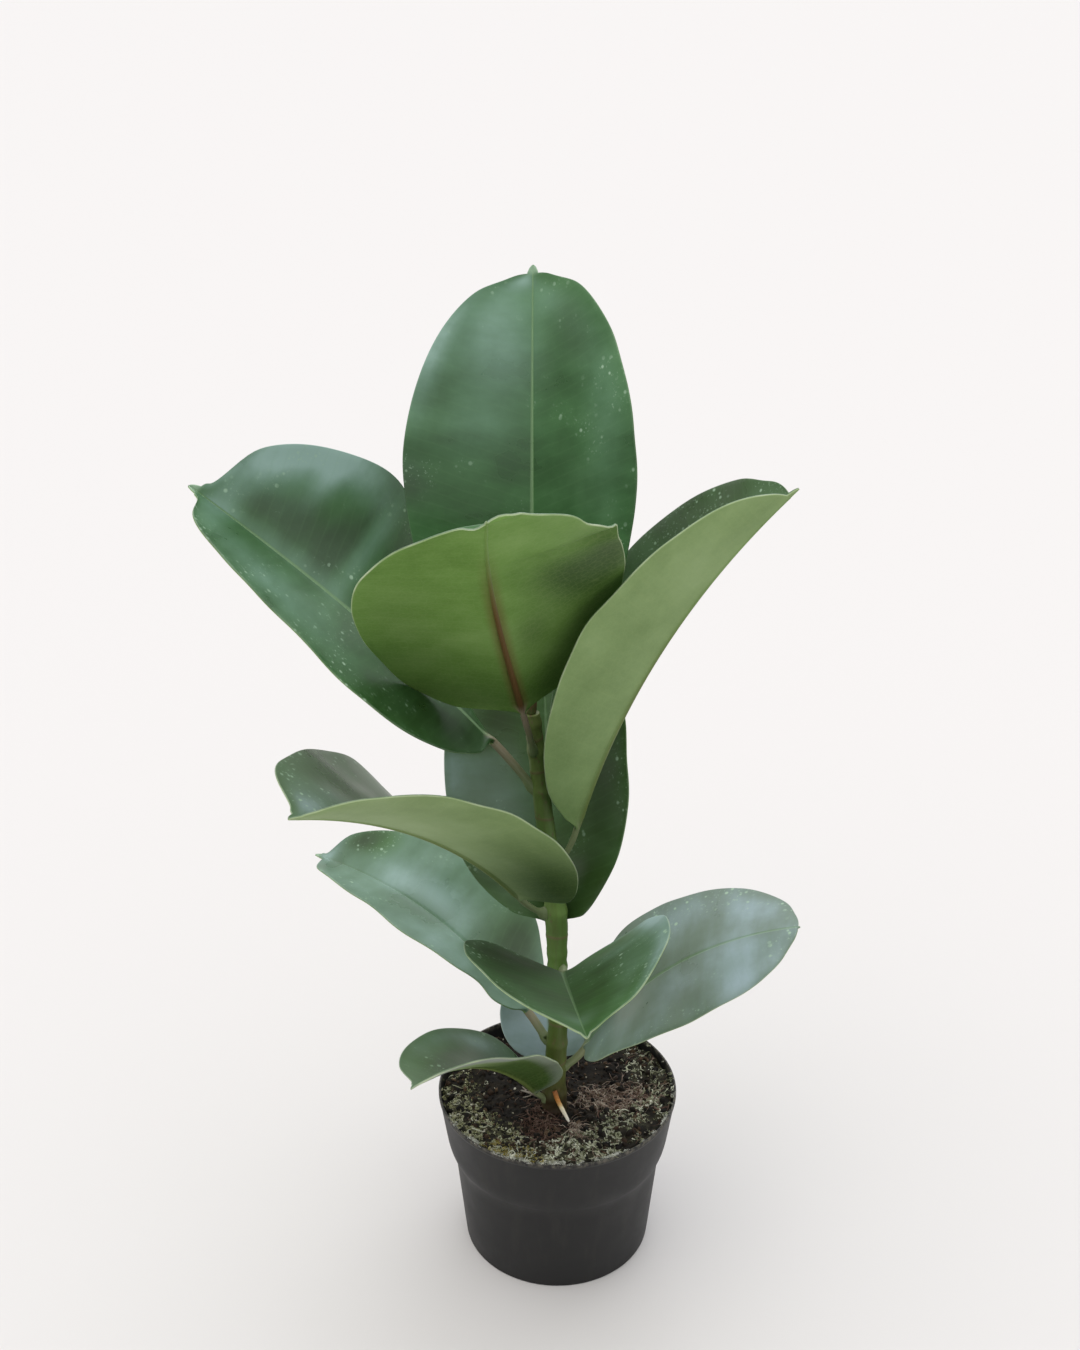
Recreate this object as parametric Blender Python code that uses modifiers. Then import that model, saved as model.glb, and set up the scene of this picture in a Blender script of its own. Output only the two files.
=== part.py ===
# Potted rubber plant (Ficus elastica) in a thin black nursery pot.
# Metres, +Z up. The origin is the centre of the pot's underside; the plant's front faces -Y.

import math
from collections import namedtuple

import bmesh
import bpy
from mathutils import Matrix, Vector

MM = 0.001
GAP = 0.3 * MM  # left between pieces that touch

# pot
POT_HEIGHT = 88 * MM
POT_RIM_RADIUS = 60 * MM
COLLAR_HEIGHT = 30 * MM
COLLAR_FOOT_RADIUS = 55.6 * MM
SHOULDER_HEIGHT = 5.5 * MM
WALL_TOP_RADIUS = 52.3 * MM
WALL_FOOT_RADIUS = 47.4 * MM
WALL_THICKNESS = 1.2 * MM
RIM_BEAD = 0.5 * MM
RIM_BEAD_HEIGHT = 3 * MM
BASE_THICKNESS = 3 * MM
BASE_RECESS = 1.5 * MM
RECESS_INNER_RADIUS = 12 * MM
RECESS_OUTER_RADIUS = 36 * MM
DRAIN_HOLE_RADIUS = 3.5 * MM
DRAIN_CIRCLE_RADIUS = 24 * MM
DRAIN_HOLES = 8
POT_SEGMENTS = 48

# soil
SOIL_LEVEL = 83.5 * MM
SOIL_FRONT_RISE = 3.0 * MM  # the surface climbs to the rim at the front and sinks at the back
SOIL_SIDE_RISE = 1.2 * MM
SOIL_RELIEF = 0.7 * MM
SOIL_SEGMENTS = 40

# stem
STEM_FOOT = Vector((-2, -11)) * MM
STEM_LEAN = Vector((-12, 5)) * MM  # how far the tip stands off the foot
STEM_BEND = 2.6  # the sideways lean grows with height to this power
STEM_BOTTOM = 62 * MM
STEM_TOP = 300 * MM
STEM_FOOT_RADIUS = 5.5 * MM
STEM_THINNING = 2.3 * MM
STEM_REFERENCE = (84 * MM, 226 * MM)  # soil level at the foot, and the height over which the lean is given
NODE_SWELLING = 0.5 * MM
STEM_SIDES = 12

# terminal bud
BUD_LENGTH = 30 * MM
BUD_RADIUS = 2.6 * MM

# leaves
LEAF_THICKNESS = 1.4 * MM
PETIOLE_RADIUS = 2.1 * MM
PETIOLE_SEAT = 2.6 * MM
RIB_HEIGHT = 1.5 * MM
RIB_GROOVE = 0.3 * MM
PETIOLE_STATIONS = 5
BLADE_STATIONS = 13
BLADE_END = 0.965  # where the broad blade closes and the drip tip carries on
DRIP_TIP_WIDTH = 0.055
BLADE_ROUNDNESS = 2.2

# Lengths in millimetres, angles in degrees. height is where the petiole leaves the stem, azimuth is
# counted from +X towards +Y, rise is the petiole's slope and pitch the blade's at its base. bend and turn
# are what the blade's slope and heading change by towards the tip, roll and twist tilt it about its midrib,
# fold lifts each half from flat at the base and fold_tip at the tip, curl adds to that at the margin, and
# broadest is the place along the blade where it is widest.
Leaf = namedtuple("Leaf", "height azimuth petiole rise length width pitch bend turn roll twist fold fold_tip curl broadest")

LEAVES = {
    "leaf_01_back_low": Leaf(
        height=93, azimuth=95, petiole=13, rise=58, length=61, width=52, pitch=61, bend=-18,
        turn=0, roll=-1, twist=-1, fold=20, fold_tip=13, curl=7, broadest=0.49),
    "leaf_02_left_low": Leaf(
        height=95, azimuth=218, petiole=15, rise=37, length=89, width=58, pitch=44, bend=-30,
        turn=19, roll=1, twist=16, fold=28, fold_tip=17, curl=13, broadest=0.49),
    "leaf_03_right_low": Leaf(
        height=105, azimuth=-5, petiole=21, rise=50, length=133, width=88, pitch=62, bend=-46,
        turn=-12, roll=10, twist=3, fold=18, fold_tip=-9, curl=0, broadest=0.49),
    "leaf_04_left_back": Leaf(
        height=122, azimuth=145, petiole=15, rise=52, length=140, width=79, pitch=41, bend=-37,
        turn=12, roll=15, twist=-16, fold=17, fold_tip=19, curl=8, broadest=0.50),
    "leaf_05_front_low": Leaf(
        height=168, azimuth=-84, petiole=20, rise=28, length=113, width=98, pitch=33, bend=-24,
        turn=2, roll=4, twist=-2, fold=22, fold_tip=22, curl=11, broadest=0.49),
    "leaf_06_back": Leaf(
        height=174, azimuth=93, petiole=18, rise=60, length=150, width=100, pitch=68, bend=-18,
        turn=2, roll=-19, twist=-5, fold=23, fold_tip=16, curl=9, broadest=0.50),
    "leaf_07_left_front": Leaf(
        height=195, azimuth=224, petiole=29, rise=34, length=156, width=117, pitch=54, bend=-34,
        turn=5, roll=2, twist=5, fold=9, fold_tip=25, curl=7, broadest=0.46),
    "leaf_08_right": Leaf(
        height=220, azimuth=-7, petiole=30, rise=53, length=188, width=103, pitch=76, bend=-28,
        turn=-7, roll=8, twist=-14, fold=46, fold_tip=27, curl=12, broadest=0.57),
    "leaf_09_left_high": Leaf(
        height=261, azimuth=190, petiole=31, rise=58, length=176, width=122, pitch=51, bend=-18,
        turn=-26, roll=-2, twist=-26, fold=-15, fold_tip=38, curl=8, broadest=0.55),
    "leaf_10_front_high": Leaf(
        height=281, azimuth=-108, petiole=30, rise=61, length=168, width=112, pitch=60, bend=-21,
        turn=24, roll=28, twist=-19, fold=17, fold_tip=2, curl=0, broadest=0.49),
    "leaf_11_top": Leaf(
        height=295, azimuth=91, petiole=32, rise=80, length=172, width=112, pitch=79, bend=-22,
        turn=-1, roll=-14, twist=-2, fold=21, fold_tip=19, curl=9, broadest=0.48),
}

# small roots at the stem's foot, in millimetres, each point with the root's radius there
AERIAL_ROOT_ROUTE = [(-1.4, -17.6, 97, 1.2), (0.4, -19.6, 93.5, 1.1), (2.8, -22.4, 90, 1.0), (5.0, -25.2, 87.3, 0.8)]
# this one lies on the soil, so its points have no height
SURFACE_ROOT_ROUTE = [(-8.4, -8.0, 0.9), (-12, -5.2, 0.9), (-15.6, -2.6, 0.7), (-18.6, -1.0, 0.5)]
SURFACE_ROOT_CLEARANCE = 0.5 * MM

part = bpy.data.collections.new("rubber_plant")
cutters = bpy.data.collections.new("rubber_plant_cutters")


def clear_scene():
    for obj in list(bpy.data.objects):
        bpy.data.objects.remove(obj, do_unlink=True)


def make_material(name, colour, roughness):
    made = bpy.data.materials.new(name)
    made.use_nodes = True
    shader = made.node_tree.nodes["Principled BSDF"]
    shader.inputs["Base Color"].default_value = (*colour, 1)
    shader.inputs["Roughness"].default_value = roughness
    shader.inputs["Metallic"].default_value = 0
    return made


def add_mesh_object(name, mesh, material=None, collection=part):
    obj = bpy.data.objects.new(name, mesh)
    collection.objects.link(obj)
    if material:
        mesh.materials.append(material)
    return obj


def evaluated_copy(obj):
    """The object's mesh with its modifiers applied, welded."""
    bpy.context.view_layer.update()
    graph = bpy.context.evaluated_depsgraph_get()
    mesh = bpy.data.meshes.new_from_object(obj.evaluated_get(graph))
    weld = bmesh.new()
    weld.from_mesh(mesh)
    bmesh.ops.remove_doubles(weld, verts=weld.verts, dist=0.01 * MM)
    weld.to_mesh(mesh)
    weld.free()
    return mesh


def turned(name, profile, segments, material=None, collection=part):
    """A turned shape: (radius, height) points that end down its outer side and under its base."""
    mesh = bpy.data.meshes.new(name)
    mesh.from_pydata([(r, 0, z) for r, z in profile], [(i, i + 1) for i in range(len(profile) - 1)], [])
    obj = add_mesh_object(name, mesh, material, collection)
    screw = obj.modifiers.new("turn", "SCREW")
    screw.steps = screw.render_steps = segments
    screw.use_merge_vertices = True
    screw.merge_threshold = 0.01 * MM
    screw.use_smooth_shade = True
    return obj


def make_cutter(name, radius, low, high, centre):
    tool = bmesh.new()
    bmesh.ops.create_cone(
        tool, cap_ends=True, segments=STEM_SIDES, radius1=radius, radius2=radius, depth=high - low,
        matrix=Matrix.Translation((*centre, (low + high) / 2)))
    mesh = bpy.data.meshes.new(name)
    tool.to_mesh(mesh)
    tool.free()
    obj = add_mesh_object(name, mesh, collection=cutters)
    obj.hide_render = True
    obj.display_type = "WIRE"
    return obj


def cut(obj, tool):
    boolean = obj.modifiers.new("cut_" + tool.name, "BOOLEAN")
    boolean.operation = "DIFFERENCE"
    boolean.solver = "EXACT"
    boolean.object = tool


# pot: a tapered wall under a wider stacking collar with a beaded rim, and a recessed base with drain holes

COLLAR_FOOT = POT_HEIGHT - COLLAR_HEIGHT
WALL_TOP = COLLAR_FOOT - SHOULDER_HEIGHT
FOOT_ROUND = 1.6 * MM


def pot_outside():
    """Outer profile from the rim down to the centre of the underside."""
    collar_top_radius = POT_RIM_RADIUS - RIM_BEAD
    return [
        (POT_RIM_RADIUS - 0.4 * MM, POT_HEIGHT),
        (POT_RIM_RADIUS, POT_HEIGHT - 0.5 * MM),
        (POT_RIM_RADIUS, POT_HEIGHT - RIM_BEAD_HEIGHT + 0.5 * MM),
        (collar_top_radius, POT_HEIGHT - RIM_BEAD_HEIGHT),
        (COLLAR_FOOT_RADIUS, COLLAR_FOOT),
        (COLLAR_FOOT_RADIUS - 0.9 * MM, COLLAR_FOOT - 1.2 * MM),
        (WALL_TOP_RADIUS + 0.3 * MM, WALL_TOP + 1.4 * MM),
        (WALL_TOP_RADIUS, WALL_TOP),
        (WALL_FOOT_RADIUS, FOOT_ROUND),
        (WALL_FOOT_RADIUS - 0.5 * MM, 0.5 * MM),
        (WALL_FOOT_RADIUS - FOOT_ROUND, 0),
        (RECESS_OUTER_RADIUS, 0),
        (RECESS_OUTER_RADIUS - BASE_RECESS, BASE_RECESS),
        (RECESS_INNER_RADIUS + BASE_RECESS, BASE_RECESS),
        (RECESS_INNER_RADIUS, 0),
        (0, 0),
    ]


def pot_inside():
    """Inner profile from the centre of the floor up to the rim."""
    return [
        (0, BASE_THICKNESS),
        (WALL_FOOT_RADIUS - 2.4 * MM, BASE_THICKNESS),
        (WALL_FOOT_RADIUS - 1.1 * MM, BASE_THICKNESS + 1.3 * MM),
        (WALL_TOP_RADIUS - WALL_THICKNESS, WALL_TOP),
        (COLLAR_FOOT_RADIUS - WALL_THICKNESS, COLLAR_FOOT),
        (POT_RIM_RADIUS - RIM_BEAD - WALL_THICKNESS, POT_HEIGHT - RIM_BEAD_HEIGHT),
        (POT_RIM_RADIUS - WALL_THICKNESS - 0.2 * MM, POT_HEIGHT - 0.4 * MM),
        (POT_RIM_RADIUS - WALL_THICKNESS, POT_HEIGHT),
    ]


def inner_radius(height):
    """Radius of the pot's inner wall at a height."""
    wall = pot_inside()[1:]
    for (r0, z0), (r1, z1) in zip(wall, wall[1:]):
        if height <= z1:
            return r0 + (r1 - r0) * (height - z0) / (z1 - z0)
    return wall[-1][0]


def build_pot():
    material = make_material("black_plastic", (0.03, 0.03, 0.033), 0.55)
    pot = turned("pot", pot_inside() + pot_outside(), POT_SEGMENTS, material)
    for i in range(DRAIN_HOLES):
        angle = 2 * math.pi * i / DRAIN_HOLES
        centre = DRAIN_CIRCLE_RADIUS * Vector((math.cos(angle), math.sin(angle)))
        cut(pot, make_cutter(f"drain_{i + 1}", DRAIN_HOLE_RADIUS, -BASE_THICKNESS, 2 * BASE_THICKNESS, centre))


# soil: fills the pot to an uneven surface, with a socket for the stem

def soil_height(x, y):
    tilt = -SOIL_FRONT_RISE * y / POT_RIM_RADIUS + SOIL_SIDE_RISE * x / POT_RIM_RADIUS
    bumps = math.sin(x * 210 + 1.0) * math.cos(y * 180 - 0.6) + 0.6 * math.sin(x * 90 - y * 130 + 2.0)
    return SOIL_LEVEL + tilt + SOIL_RELIEF * bumps


def build_soil():
    material = make_material("potting_soil", (0.045, 0.032, 0.022), 0.95)
    wall = [(r - GAP, z) for r, z in pot_inside()[1:5]]
    wall[0] = (wall[0][0], BASE_THICKNESS + GAP)
    edge = inner_radius(SOIL_LEVEL) - GAP
    surface = [(edge * share, SOIL_LEVEL) for share in (0, 0.25, 0.5, 0.75, 0.92, 1)]
    form = turned("soil_form", surface + wall[::-1] + [(0, BASE_THICKNESS + GAP)], SOIL_SEGMENTS)
    mesh = evaluated_copy(form)
    bpy.data.objects.remove(form, do_unlink=True)
    for vertex in mesh.vertices:
        x, y, z = vertex.co
        if z < SOIL_LEVEL - 1 * MM:
            continue
        z = soil_height(x, y)
        radius = math.hypot(x, y)
        if radius > 0.99 * edge:
            # the edge stays against the wall, which leans outwards
            share = (inner_radius(z) - GAP) / radius
            x, y = x * share, y * share
        vertex.co = (x, y, z)
    soil = add_mesh_object("potting_soil", mesh, material)
    cut(soil, make_cutter("stem_socket", STEM_FOOT_RADIUS + GAP, STEM_BOTTOM - GAP, POT_HEIGHT + 20 * MM, STEM_FOOT))


# stem

def stem_axis(height):
    level, span = STEM_REFERENCE
    share = max(0.0, (height - level) / span)
    x = STEM_FOOT.x + STEM_LEAN.x * share**STEM_BEND
    return Vector((x, STEM_FOOT.y + STEM_LEAN.y * share, height))


def stem_radius(height):
    level, span = STEM_REFERENCE
    return STEM_FOOT_RADIUS - STEM_THINNING * max(0.0, (height - level) / span)


def add_tube(name, route, material, sides_resolution):
    """A round tube along (point, radius) pairs, as a curve with capped ends."""
    curve = bpy.data.curves.new(name, "CURVE")
    curve.dimensions = "3D"
    curve.bevel_depth = MM
    curve.bevel_resolution = sides_resolution
    curve.use_fill_caps = True
    spline = curve.splines.new("POLY")
    spline.points.add(len(route) - 1)
    for target, (point, radius) in zip(spline.points, route):
        target.co = (*point, 1)
        target.radius = radius / MM
    obj = bpy.data.objects.new(name, curve)
    part.objects.link(obj)
    mesh = evaluated_copy(obj)
    bpy.data.objects.remove(obj, do_unlink=True)
    mesh.shade_smooth()
    mesh.set_sharp_from_angle(angle=math.radians(50))
    return add_mesh_object(name, mesh, material)


def build_stem():
    material = make_material("green_bark", (0.16, 0.19, 0.045), 0.6)
    heights = {STEM_BOTTOM: 0, STEM_TOP: 0}
    for leaf in LEAVES.values():
        node = leaf.height * MM
        heights.update({node - 3 * MM: 0, node: NODE_SWELLING, node + 3 * MM: 0})
    route = []
    for height in sorted(heights):
        if height > STEM_TOP or (route and height - route[-1][0].z < 1.5 * MM):
            continue
        route.append((stem_axis(height), stem_radius(height) - NODE_SWELLING + heights[height]))
    add_tube("main_stem", route, material, STEM_SIDES // 4 - 1)


def build_bud():
    material = make_material("bud_sheath", (0.42, 0.12, 0.07), 0.5)
    foot = stem_axis(STEM_TOP) + Vector((0, 0, GAP))
    lean = (stem_axis(STEM_TOP) - stem_axis(STEM_TOP - 10 * MM)).normalized()
    shares = [(0, 0.85), (0.12, 1.0), (0.35, 0.86), (0.6, 0.58), (0.82, 0.3), (1, 0.08)]
    add_tube("terminal_bud", [(foot + lean * BUD_LENGTH * t, BUD_RADIUS * r) for t, r in shares], material, 1)


def build_roots():
    pale = make_material("root_skin", (0.62, 0.47, 0.3), 0.7)
    hanging = [(Vector((x, y, z)) * MM, radius * MM) for x, y, z, radius in AERIAL_ROOT_ROUTE]
    add_tube("aerial_root", hanging, pale, 1)
    lying = []
    for x, y, radius in SURFACE_ROOT_ROUTE:
        height = soil_height(x * MM, y * MM) + radius * MM + SURFACE_ROOT_CLEARANCE
        lying.append((Vector((x * MM, y * MM, height)), radius * MM))
    add_tube("surface_root", lying, pale, 1)


# leaves: each is one loft, from the petiole's oval foot against the stem to the thin folded blade

def heading(pitch, azimuth):
    return Vector((math.cos(pitch) * math.cos(azimuth), math.cos(pitch) * math.sin(azimuth), math.sin(pitch)))


def half_width(leaf, along):
    """Half the blade's width at a share of its length: a rounded oval that ends in a drip tip."""
    warped = min(along / BLADE_END, 1) ** (math.log(0.5) / math.log(leaf.broadest))
    oval = max(0, 1 - abs(2 * warped - 1) ** BLADE_ROUNDNESS) ** (1 / BLADE_ROUNDNESS)
    drip = DRIP_TIP_WIDTH * min((1 - along) / (1 - BLADE_END), 1.6) if along > BLADE_END - 0.03 else 0
    return 0.5 * leaf.width * MM * (oval**5 + drip**5) ** 0.2


def petiole_section(centre, side, up, across, tall):
    """Sixteen points round an oval, in the blade section's order."""
    places = [-1, -0.92, -0.71, -0.38, 0, 0.38, 0.71, 0.92, 1]
    over = [centre + side * across * x + up * tall * math.sqrt(1 - x * x) for x in places]
    under = [centre + side * across * x - up * tall * math.sqrt(1 - x * x) for x in places[-2:0:-1]]
    return over + under


def blade_section(leaf, centre, side, up, width, along):
    """Sixteen points round the blade: over its upper face from one margin to the other, and back under it."""
    fold = math.radians(leaf.fold + (leaf.fold_tip - leaf.fold) * along)
    rib = min(PETIOLE_RADIUS * (1 - 0.75 * along), 0.45 * width)
    ridge = RIB_HEIGHT * (1 - along) * min(1, width / (4 * PETIOLE_RADIUS))
    half = LEAF_THICKNESS / 2
    steps = [0, rib, rib + (width - rib) / 3, rib + (width - rib) * 2 / 3, width]
    middle = []
    x = y = 0
    for previous, step in zip([0] + steps, steps):
        angle = fold + math.radians(leaf.curl) * (previous + step) / (2 * width)
        x += (step - previous) * math.cos(angle)
        y += (step - previous) * math.sin(angle)
        middle.append((x, y, angle))

    def place(index, sign, offset):
        x, y, angle = middle[index]
        normal = up * math.cos(angle) - side * sign * math.sin(angle)
        return centre + side * sign * x + up * y + normal * offset

    over = [place(i, -1, half) for i in (3, 2, 1)] + [centre + up * (half - RIB_GROOVE)]
    over += [place(i, 1, half) for i in (1, 2, 3)]
    under = [place(i, 1, -half) for i in (3, 2, 1)] + [centre - up * (half + ridge)]
    under += [place(i, -1, -half) for i in (1, 2, 3)]
    return [place(4, -1, 0)] + over + [place(4, 1, 0)] + under


def leaf_sections(leaf):
    azimuth = math.radians(leaf.azimuth)
    rise = math.radians(leaf.rise)
    pitch = math.radians(leaf.pitch)
    outward = heading(0, azimuth)
    level = Vector((math.sin(azimuth), -math.cos(azimuth), 0))
    height = leaf.height * MM
    centre = stem_axis(height) + outward * (stem_radius(height) + GAP)
    tall_seat = min(PETIOLE_SEAT / max(math.cos(rise), 0.3), 2 * PETIOLE_SEAT)
    sections = [petiole_section(centre, level, Vector((0, 0, 1)), PETIOLE_SEAT, tall_seat)]
    centre = centre + outward * 0.1 * MM
    for i in range(1, PETIOLE_STATIONS):
        share = i / (PETIOLE_STATIONS - 1)
        slope = rise + (pitch - rise) * (share - 0.5 / (PETIOLE_STATIONS - 1))
        centre = centre + heading(slope, azimuth) * leaf.petiole * MM / (PETIOLE_STATIONS - 1)
        up = heading(slope + math.pi / 2, azimuth)
        tilt = Matrix.Rotation(math.radians(leaf.roll) * share, 3, heading(slope, azimuth))
        sections.append(petiole_section(centre, tilt @ level, tilt @ up, PETIOLE_RADIUS, PETIOLE_RADIUS))
    alongs = [BLADE_END * (0.5 - 0.5 * math.cos(math.pi * i / BLADE_STATIONS)) for i in range(BLADE_STATIONS)]
    alongs.append(1)
    for before, along in zip(alongs, alongs[1:]):
        middle = (before + along) / 2
        slope = math.radians(leaf.pitch + leaf.bend * middle)
        course = azimuth + math.radians(leaf.turn * middle)
        centre = centre + heading(slope, course) * leaf.length * MM * (along - before)
        slope = math.radians(leaf.pitch + leaf.bend * along)
        course = azimuth + math.radians(leaf.turn * along)
        forward = heading(slope, course)
        side = Vector((math.sin(course), -math.cos(course), 0))
        up = heading(slope + math.pi / 2, course)
        tilt = Matrix.Rotation(math.radians(leaf.roll + leaf.twist * along), 3, forward)
        width = max(half_width(leaf, along), 0.5 * MM)
        sections.append(blade_section(leaf, centre, tilt @ side, tilt @ up, width, along))
    return sections


def build_leaf(name, leaf, material):
    sections = leaf_sections(leaf)
    loft = bmesh.new()
    rings = [[loft.verts.new(point) for point in section] for section in sections]
    count = len(rings[0])
    for ring, following in zip(rings, rings[1:]):
        for i in range(count):
            j = (i + 1) % count
            loft.faces.new((ring[i], ring[j], following[j], following[i]))
    for ring in (rings[0], rings[-1]):
        loft.faces.new(ring)
    bmesh.ops.recalc_face_normals(loft, faces=loft.faces)
    mesh = bpy.data.meshes.new(name)
    loft.to_mesh(mesh)
    loft.free()
    mesh.shade_smooth()
    mesh.set_sharp_from_angle(angle=math.radians(60))
    add_mesh_object(name, mesh, material)


def build_plant():
    green = make_material("leaf_skin", (0.028, 0.11, 0.045), 0.35)
    for name, leaf in LEAVES.items():
        build_leaf(name, leaf, green)


clear_scene()
for group in (part, cutters):
    bpy.context.scene.collection.children.link(group)
build_pot()
build_soil()
build_stem()
build_bud()
build_roots()
build_plant()
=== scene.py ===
import math
import random
from functools import partial

import bmesh
import bpy
import numpy as np
from mathutils import Euler, Matrix, Vector, noise


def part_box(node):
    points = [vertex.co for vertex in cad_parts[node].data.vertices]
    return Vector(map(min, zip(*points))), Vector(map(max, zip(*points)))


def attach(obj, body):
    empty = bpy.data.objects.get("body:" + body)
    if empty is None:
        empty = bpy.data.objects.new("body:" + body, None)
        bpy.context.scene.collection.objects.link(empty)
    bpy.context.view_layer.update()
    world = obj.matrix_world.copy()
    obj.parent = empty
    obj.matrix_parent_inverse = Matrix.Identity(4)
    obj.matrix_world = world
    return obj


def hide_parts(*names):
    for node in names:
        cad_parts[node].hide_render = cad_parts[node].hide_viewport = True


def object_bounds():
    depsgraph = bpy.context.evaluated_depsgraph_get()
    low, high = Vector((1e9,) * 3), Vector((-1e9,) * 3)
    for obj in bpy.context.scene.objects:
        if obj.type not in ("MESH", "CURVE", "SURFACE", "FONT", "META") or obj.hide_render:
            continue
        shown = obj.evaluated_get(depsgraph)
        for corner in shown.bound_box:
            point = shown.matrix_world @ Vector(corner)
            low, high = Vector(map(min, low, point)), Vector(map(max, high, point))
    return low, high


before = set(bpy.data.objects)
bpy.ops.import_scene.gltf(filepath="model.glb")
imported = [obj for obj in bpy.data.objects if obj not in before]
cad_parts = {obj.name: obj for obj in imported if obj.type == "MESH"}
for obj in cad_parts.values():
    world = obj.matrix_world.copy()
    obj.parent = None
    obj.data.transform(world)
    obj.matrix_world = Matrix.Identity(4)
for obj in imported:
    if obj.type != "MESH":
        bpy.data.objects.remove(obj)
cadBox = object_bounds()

mm = 0.001
scene = bpy.context.scene


# small helpers

def hexColour(code):
    # sRGB hex to the linear values that the shaders take
    parts = [int(code[i:i + 2], 16) / 255 for i in (1, 3, 5)]
    return (*(c / 12.92 if c <= 0.04045 else ((c + 0.055) / 1.055) ** 2.4 for c in parts), 1.0)


def fillSockets(node, values):
    # links, sRGB hex colours and plain values, by socket name or in the order of the sockets in use
    inUse = [socket for socket in node.inputs if socket.enabled]
    for socket, value in values.items() if isinstance(values, dict) else zip(inUse, values):
        socket = node.inputs[socket] if isinstance(socket, str) else socket
        if isinstance(value, bpy.types.NodeSocket):
            node.id_data.links.new(value, socket)
        else:
            socket.default_value = hexColour(value) if isinstance(value, str) else value


def addNode(tree, kind, inputs=(), output=None, ramp=None, **settings):
    # one node with its settings, colour stops, values and links; gives its first output or the named one
    # a pattern's scale is in cells to the metre: 500 draws cells of 2 mm
    made = tree.nodes.new("ShaderNode" + kind)
    for name, value in settings.items():
        setattr(made, name, value)
    if ramp:
        stops = made.color_ramp.elements
        while len(stops) < len(ramp):
            stops.new(0.5)
        for stop, (place, code) in zip(stops, ramp.items()):
            stop.position = place
            stop.color = hexColour(code)
    fillSockets(made, inputs)
    return made.outputs[output] if output else next(socket for socket in made.outputs if socket.enabled)


def startMaterial(name):
    # the material, what adds a node to it, and the object's own coordinates
    made = bpy.data.materials.new(name)
    made.use_nodes = True
    add = partial(addNode, made.node_tree)
    return made, add, add("TexCoord", output="Object")


def finishMaterial(made, values, relief=None):
    # hands the shader its values, and a relief as height, depth in millimetres and strength
    if relief:
        height, depth, strength = relief
        values["Normal"] = addNode(made.node_tree, "Bump", {"Height": height, "Distance": depth * mm,
                                                            "Strength": strength})
    fillSockets(made.node_tree.nodes["Principled BSDF"], values)
    return made


def addPiece(name, points, faces, materials, node, faceMaterials=None, attributes=None):
    # a finished mesh, given in millimetres, that rides on the plant's one body in place of a CAD node
    mesh = bpy.data.meshes.new(name)
    mesh.from_pydata([tuple(p) for p in points * mm], [], faces)
    for material in materials:
        mesh.materials.append(material)
    if faceMaterials is not None:
        mesh.polygons.foreach_set("material_index", np.asarray(faceMaterials, np.int32))
    for key, values in (attributes or {}).items():
        layer = mesh.attributes.new(key, "FLOAT", "POINT")
        layer.data.foreach_set("value", np.asarray(values, np.float32))
    mesh.validate()
    mesh.shade_smooth()
    piece = bpy.data.objects.new(name, mesh)
    scene.collection.objects.link(piece)
    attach(piece, "root")
    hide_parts(node)
    return piece


def circle(count):
    return 2 * np.pi * np.arange(count) / count


def levelRing(radius, turn, height, x=0.0, y=0.0):
    # a ring of points at one height
    return np.stack([x + radius * np.cos(turn), y + radius * np.sin(turn), np.full(len(turn), height)], 1)


def ringFaces(ringCount, ringSize, start=0):
    # quads between rings of points that follow one another
    faces = []
    for a in range(start, start + (ringCount - 1) * ringSize, ringSize):
        for j in range(ringSize):
            k = (j + 1) % ringSize
            faces.append((a + j, a + k, a + ringSize + k, a + ringSize + j))
    return faces


def stackFaces(ringCount, ringSize):
    # the same, closed at both ends
    first, last = range(ringSize), range((ringCount - 1) * ringSize, ringCount * ringSize)
    return ringFaces(ringCount, ringSize) + [tuple(first)[::-1], tuple(last)]


def smoothStep(low, high, value):
    t = np.clip((value - low) / (high - low), 0, 1)
    return t * t * (3 - 2 * t)


# camera, floor and light

cameraSetup = {
    "place": (0, -665.2, 617.1), "tilt": 24.38, "pan": 0.757, "lens": 43.41, "sensor": 36, "sight": 80,
}


def buildCamera():
    data = bpy.data.cameras.new("camera")
    data.lens = cameraSetup["lens"]
    data.sensor_width = cameraSetup["sensor"]
    data.clip_end = cameraSetup["sight"]
    camera = bpy.data.objects.new("camera", data)
    camera.location = Vector(cameraSetup["place"]) * mm
    camera.rotation_euler = (math.radians(90 - cameraSetup["tilt"]), 0, math.radians(cameraSetup["pan"]))
    scene.collection.objects.link(camera)
    scene.camera = camera
    print("camera: lens", cameraSetup["lens"])


studio = {
    "floor": "#d9d6d3", "floorSize": 90,
    # brightness of the white surround: at the horizon, overhead, and a brighter bank high up behind the plant
    "horizon": 0.27, "overhead": 1.0, "behind": 0.5, "tint": "#f4f5f8",
    # overhead, then the bank (two axes): the axis, where the light sets in along it and where it is full
    "fades": (("Z", 0.0, 0.62), ("Y", 0.15, 0.85), ("Z", 0.2, 0.55)),
    # soft key lights: the way they come from, strength, how wide they look in degrees, colour
    "keys": {"keyLeft": ((-0.65, -0.35, 1.1), 0.55, 60, "#fff8f0"),
             "keyBack": ((0.35, 0.8, 0.9), 0.5, 45, "#f2f5ff")},
}


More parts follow.
